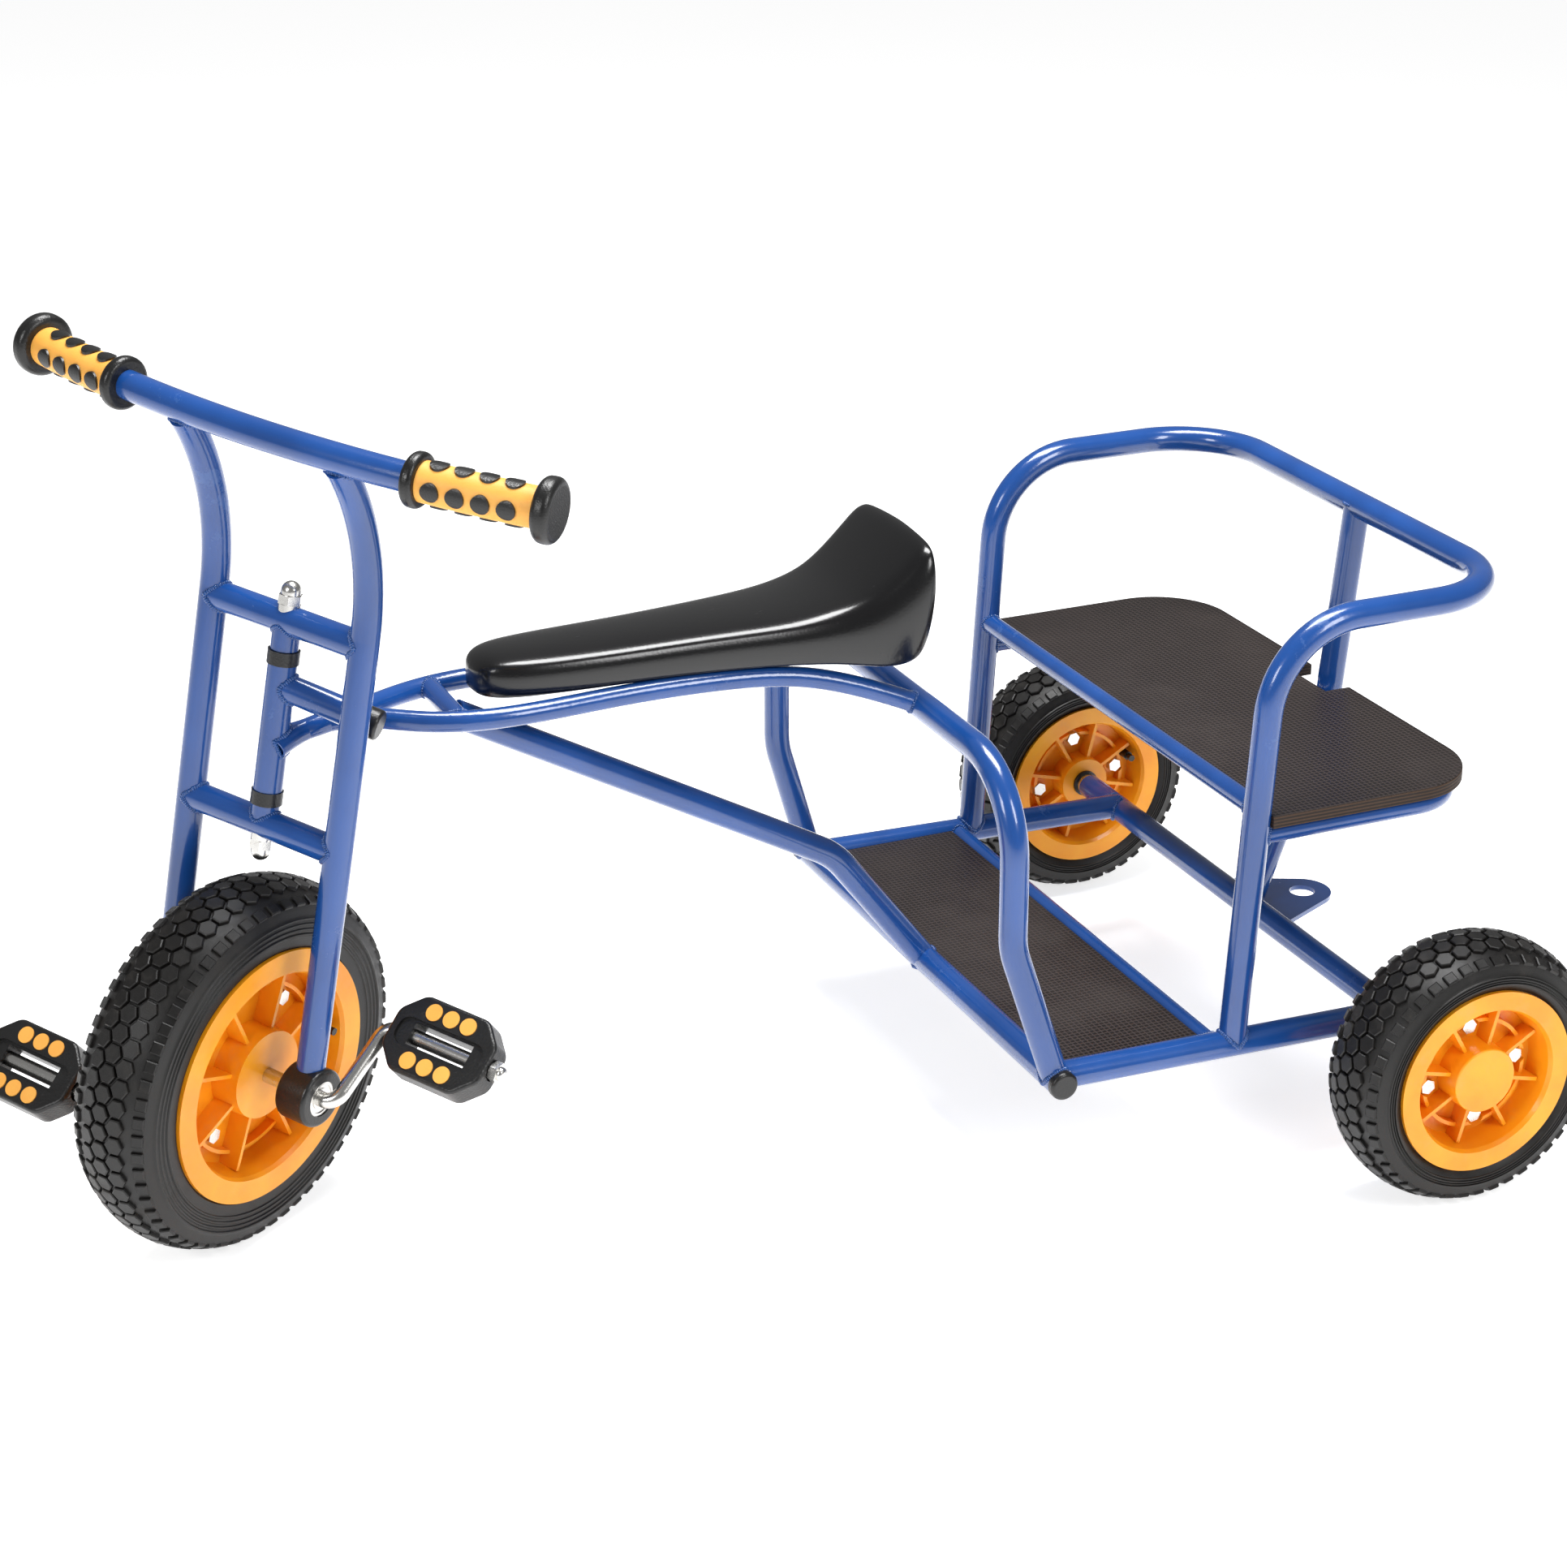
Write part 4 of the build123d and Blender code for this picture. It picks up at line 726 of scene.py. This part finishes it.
def clusters(points):
    """Groups of points that lie close together."""
    left = list(points)
    groups = []
    while left:
        group = [left.pop()]
        for point in group:
            near = [p for p in left if (p - point).length < SEAM_GAP]
            group += near
            left = [p for p in left if (p - point).length >= SEAM_GAP]
        groups.append(group)
    return groups


def seam_loop(group):
    """Orders the outer seam points by angle and evens them out."""
    centre = sum(group, Vector()) / len(group)
    spread = Matrix(((0,) * 3,) * 3)
    for point in group:
        d = point - centre
        spread += Matrix([[d[i] * d[j] for j in range(3)] for i in range(3)])
    normal = Vector((0, 0, 1))
    inverse = (spread + Matrix.Identity(3) * 1e-9).inverted()
    for _ in range(FIT_STEPS):
        normal = (inverse @ normal).normalized()
    across = normal.orthogonal().normalized()
    along = normal.cross(across)
    by_angle = []
    for point in group:
        d = point - centre
        by_angle.append((math.atan2(d.dot(along), d.dot(across)), d))
    loop = []
    for k in range(SEAM_SAMPLES):
        angle = 2 * math.pi * k / SEAM_SAMPLES
        near = [(abs(math.remainder(a - angle, 2 * math.pi)), d) for a, d in by_angle]
        window = [d for gap, d in near if gap < SEAM_WINDOW]
        if not window:
            continue
        reach = max((d - normal * d.dot(normal)).length for d in window)
        outer = [(gap, d) for gap, d in near
                 if gap < SEAM_WINDOW and (d - normal * d.dot(normal)).length > reach - SEAM_RIM]
        weights = [1 / (gap + 0.01) for gap, _ in outer]
        loop.append(centre + sum((d * w for w, (_, d) in zip(weights, outer)), Vector()) / sum(weights))
    return loop


# %% The rule that lays a bead along a seam
def bead_rule():
    rule = Rule("weld_bead")
    width = rule.named("Width", "NodeSocketFloat")
    step = rule.named("Step", "NodeSocketFloat")
    seed = rule.named("Seed", "NodeSocketInt")
    path = rule.add("GeometryNodeResampleCurve", {"mode": "LENGTH"}, Curve=rule.start.outputs[0],
                    Length=step)
    tangent = rule.add("GeometryNodeInputTangent")
    facing = rule.add("FunctionNodeAlignRotationToVector", {"axis": "X"}, Vector=tangent)
    scale = rule.add("ShaderNodeCombineXYZ", X=rule.maths("MULTIPLY", width, 0.62), Y=width, Z=width)
    jitter = rule.add("FunctionNodeRandomValue", {"data_type": "FLOAT"}, out=1,
                      n2=0.82, n3=1.14, Seed=seed)
    sized = rule.add("ShaderNodeVectorMath", {"operation": "SCALE"}, n0=scale, Scale=jitter)
    drop = rule.add("GeometryNodeMeshIcoSphere", Radius=1.0, Subdivisions=2)
    beads = rule.add("GeometryNodeInstanceOnPoints", Points=path, Instance=drop, Rotation=facing,
                     Scale=sized)
    rule.close(beads, WELD)
    return rule


BEAD = bead_rule()
BEAD_STEP = 0.0017
THIN_BEAD, THICK_BEAD = 0.0017, 0.0021
THIN_SEAM = 0.021
FEWEST_POINTS = 8
FEWEST_SAMPLES = 20


def bead(loop, width, seed):
    """A welded bead on one seam."""
    curve = bpy.data.curves.new("seam", "CURVE")
    curve.dimensions = "3D"
    spline = curve.splines.new("POLY")
    spline.points.add(len(loop) - 1)
    for point, co in zip(spline.points, loop):
        point.co = (*co, 1)
    spline.use_cyclic_u = True
    holder = scratch_object("seam", curve)
    mesh = BEAD.run(holder, {"Width": width, "Step": BEAD_STEP, "Seed": seed})
    forget(holder)
    return mesh


WELDS = {
    "frame": [
        ("side_rails", "front_crossbar"), ("side_rails", "rear_axle_beam"),
        ("platform_rear_bar", "side_rails"), ("bench_loop", "side_rails"),
        ("seat_front_bar", "bench_loop"), ("seat_frame", "bench_loop"),
        ("rear_hoop", "front_crossbar"), ("down_tube", "front_crossbar"), ("down_tube", "rail_tie"),
        ("saddle_rails", "head_tube"), ("saddle_rails", "rear_hoop"), ("rail_tie", "saddle_rails"),
        ("steering_stop", "head_tube"), ("back_post", "bench_loop"), ("back_post", "rear_axle_beam"),
    ],
    "steering": [
        ("fork_cross_tubes", "fork_legs"), ("fork_legs", "handlebar"),
        ("head_sleeves", "fork_cross_tubes"),
    ],
}
for body, pairs in WELDS.items():
    beads = []
    for tube, other in pairs:
        for group in clusters(touching_points(tube, other)):
            if len(group) < FEWEST_POINTS:
                continue
            loop = seam_loop(group)
            size = max((a - b).length for a in loop for b in loop)
            width = THIN_BEAD if size < THIN_SEAM else THICK_BEAD
            if len(loop) > FEWEST_SAMPLES:
                beads.append(bead(loop, width, len(beads)))
    show(body + "_welds", joined(beads), body, WELD, smooth=math.pi)

# %% [markdown]
# ## Saddle
# The saddle is one blow-moulded shell: long and narrow in front, spreading to an upturned tail. It is
# lofted: cross-sections stand along its length, each a rounded outline, and a subdivision surface
# rounds what lies between. Each section gives its half width, its rim height and its underside.

# %% Sections of the saddle, from the nose to the tail
saddle_low, saddle_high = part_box("saddle")
NOSE_Y = saddle_low.y
TOP_Z = saddle_high.z
# distance behind the nose, half width, rim height below the tail tip, underside below the tip
STATIONS = [
    (0.000, 0.0080, 0.0660, 0.0800), (0.003, 0.0190, 0.0610, 0.0820), (0.012, 0.0285, 0.0570, 0.0830),
    (0.032, 0.0370, 0.0555, 0.0830), (0.092, 0.0410, 0.0550, 0.0830), (0.132, 0.0425, 0.0545, 0.0830),
    (0.172, 0.0450, 0.0535, 0.0835), (0.212, 0.0490, 0.0525, 0.0840), (0.252, 0.0540, 0.0510, 0.0860),
    (0.282, 0.0590, 0.0460, 0.0890), (0.302, 0.0650, 0.0390, 0.0920), (0.320, 0.0705, 0.0270, 0.0945),
    (0.336, 0.0735, 0.0130, 0.0930), (0.346, 0.0735, 0.0030, 0.0860), (0.353, 0.0715, 0.0000, 0.0600),
    (0.357, 0.0660, 0.0010, 0.0300),
]


def saddle_section(back, half, rim_drop, floor_drop):
    """One closed cross-section: crowned top, rolled rim, bulging wall, tucked-under edge."""
    rim = TOP_Z - rim_drop
    floor = TOP_Z - floor_drop
    tall = rim - floor
    crown = min(0.004, half * 0.12)
    shape = [
        (0.00, rim + crown), (0.35, rim + crown * 0.9), (0.66, rim + crown * 0.55),
        (0.84, rim + crown * 0.1), (0.94, rim - tall * 0.10), (1.00, rim - tall * 0.34),
        (1.00, rim - tall * 0.66), (0.96, floor + tall * 0.10), (0.88, floor), (0.45, floor),
    ]
    ring = [(half * u, z) for u, z in shape] + [(0.0, floor)]
    ring += [(-half * u, z) for u, z in reversed(shape[1:])]
    return [Vector((x, NOSE_Y + back, z)) for x, z in ring]


def saddle_mesh():
    work = bmesh.new()
    rings = [[work.verts.new(p) for p in saddle_section(*station)] for station in STATIONS]
    count = len(rings[0])
    for first, second in zip(rings, rings[1:]):
        for i in range(count):
            j = (i + 1) % count
            work.faces.new((first[i], first[j], second[j], second[i]))
    for ring in (rings[0], rings[-1]):
        for i in range(1, count // 2):
            a, b = ring[i - 1 if i > 1 else 0], ring[i]
            c, d = ring[count - i], ring[(count - i + 1) % count]
            work.faces.new((a, b, c, d) if i > 1 else (a, b, c))
        work.faces.new((ring[count // 2 - 1], ring[count // 2], ring[count // 2 + 1]))
    bmesh.ops.recalc_face_normals(work, faces=work.faces)
    mesh = bpy.data.meshes.new("saddle_shell")
    work.to_mesh(mesh)
    work.free()
    return mesh


shell = show("saddle_shell", saddle_mesh(), "frame", SADDLE, ("saddle",), math.pi)
rounding = shell.modifiers.new("rounding", "SUBSURF")
rounding.levels = rounding.render_levels = 3

# %% [markdown]
# ## Studio
# A pale floor that glows a little and runs out of sight, with one softbox above, one behind the left
# shoulder and one in front.

# %% Floor, light and camera
def pale_floor():
    f = Finish("pale_floor", (0.93, 0.93, 0.93), 0.75, specular=0.2)
    f.set("Emission Color", (1.0, 1.0, 1.0, 1.0))
    f.set("Emission Strength", 0.7)
    f.feed("Base Color", f.mix(f.noise(2.0, 2.0), (0.92, 0.92, 0.92), (0.94, 0.94, 0.94)))
    return f.material


floor = scratch_object("studio_floor", turned([(0.0, 0.0), (0.0, 14.0)], 96, closed=False))
floor.data.transform(Matrix.Rotation(math.pi / 2, 4, "Y"))
floor.data.materials.append(pale_floor())

world = bpy.data.worlds.new("studio")
bpy.context.scene.world = world
world.use_nodes = True
world.node_tree.nodes["Background"].inputs[0].default_value = (1.0, 1.0, 1.0, 1)
world.node_tree.nodes["Background"].inputs[1].default_value = 0.24


def softbox(name, place, aim, size, power):
    data = bpy.data.lights.new(name, "AREA")
    data.shape = "RECTANGLE"
    data.size, data.size_y = size
    data.energy = power
    lamp = scratch_object(name, data)
    lamp.location = place
    lamp.rotation_euler = (Vector(place) - Vector(aim)).to_track_quat("Z", "Y").to_euler()
    return lamp


MIDDLE = (cad_low + cad_high) / 2
softbox("top_light", (-0.2, 0.3, 2.5), MIDDLE, (1.5, 0.8), 74)
softbox("near_light", (2.4, 0.9, 2.0), MIDDLE, (0.7, 1.2), 32)
softbox("front_light", (1.2, -2.9, 1.9), MIDDLE, (0.9, 1.0), 30)

# %% The camera stands at the left front, well above the handlebar, and looks down
CAMERA_AT = Vector((2.2035, -0.9160, 1.3139))
AZIMUTH, ELEVATION, ROLL = math.radians(66.51), math.radians(22.94), math.radians(-0.21)
FOCAL_MM, SENSOR_MM = 75.68, 36.0
back = Vector((math.sin(AZIMUTH) * math.cos(ELEVATION), -math.cos(AZIMUTH) * math.cos(ELEVATION),
               math.sin(ELEVATION)))
right = Vector((math.cos(AZIMUTH), math.sin(AZIMUTH), 0))
up = back.cross(right)
rolled_right = right * math.cos(ROLL) + up * math.sin(ROLL)
rolled_up = up * math.cos(ROLL) - right * math.sin(ROLL)
lens = bpy.data.cameras.new("camera")
lens.lens, lens.sensor_width, lens.sensor_fit = FOCAL_MM, SENSOR_MM, "HORIZONTAL"
lens.clip_end = 100
camera = scratch_object("camera", lens)
camera.matrix_world = Matrix.Translation(CAMERA_AT) @ Matrix(
    (rolled_right, rolled_up, back)).transposed().to_4x4()
bpy.context.scene.camera = camera
bpy.context.scene.view_settings.view_transform = "Standard"
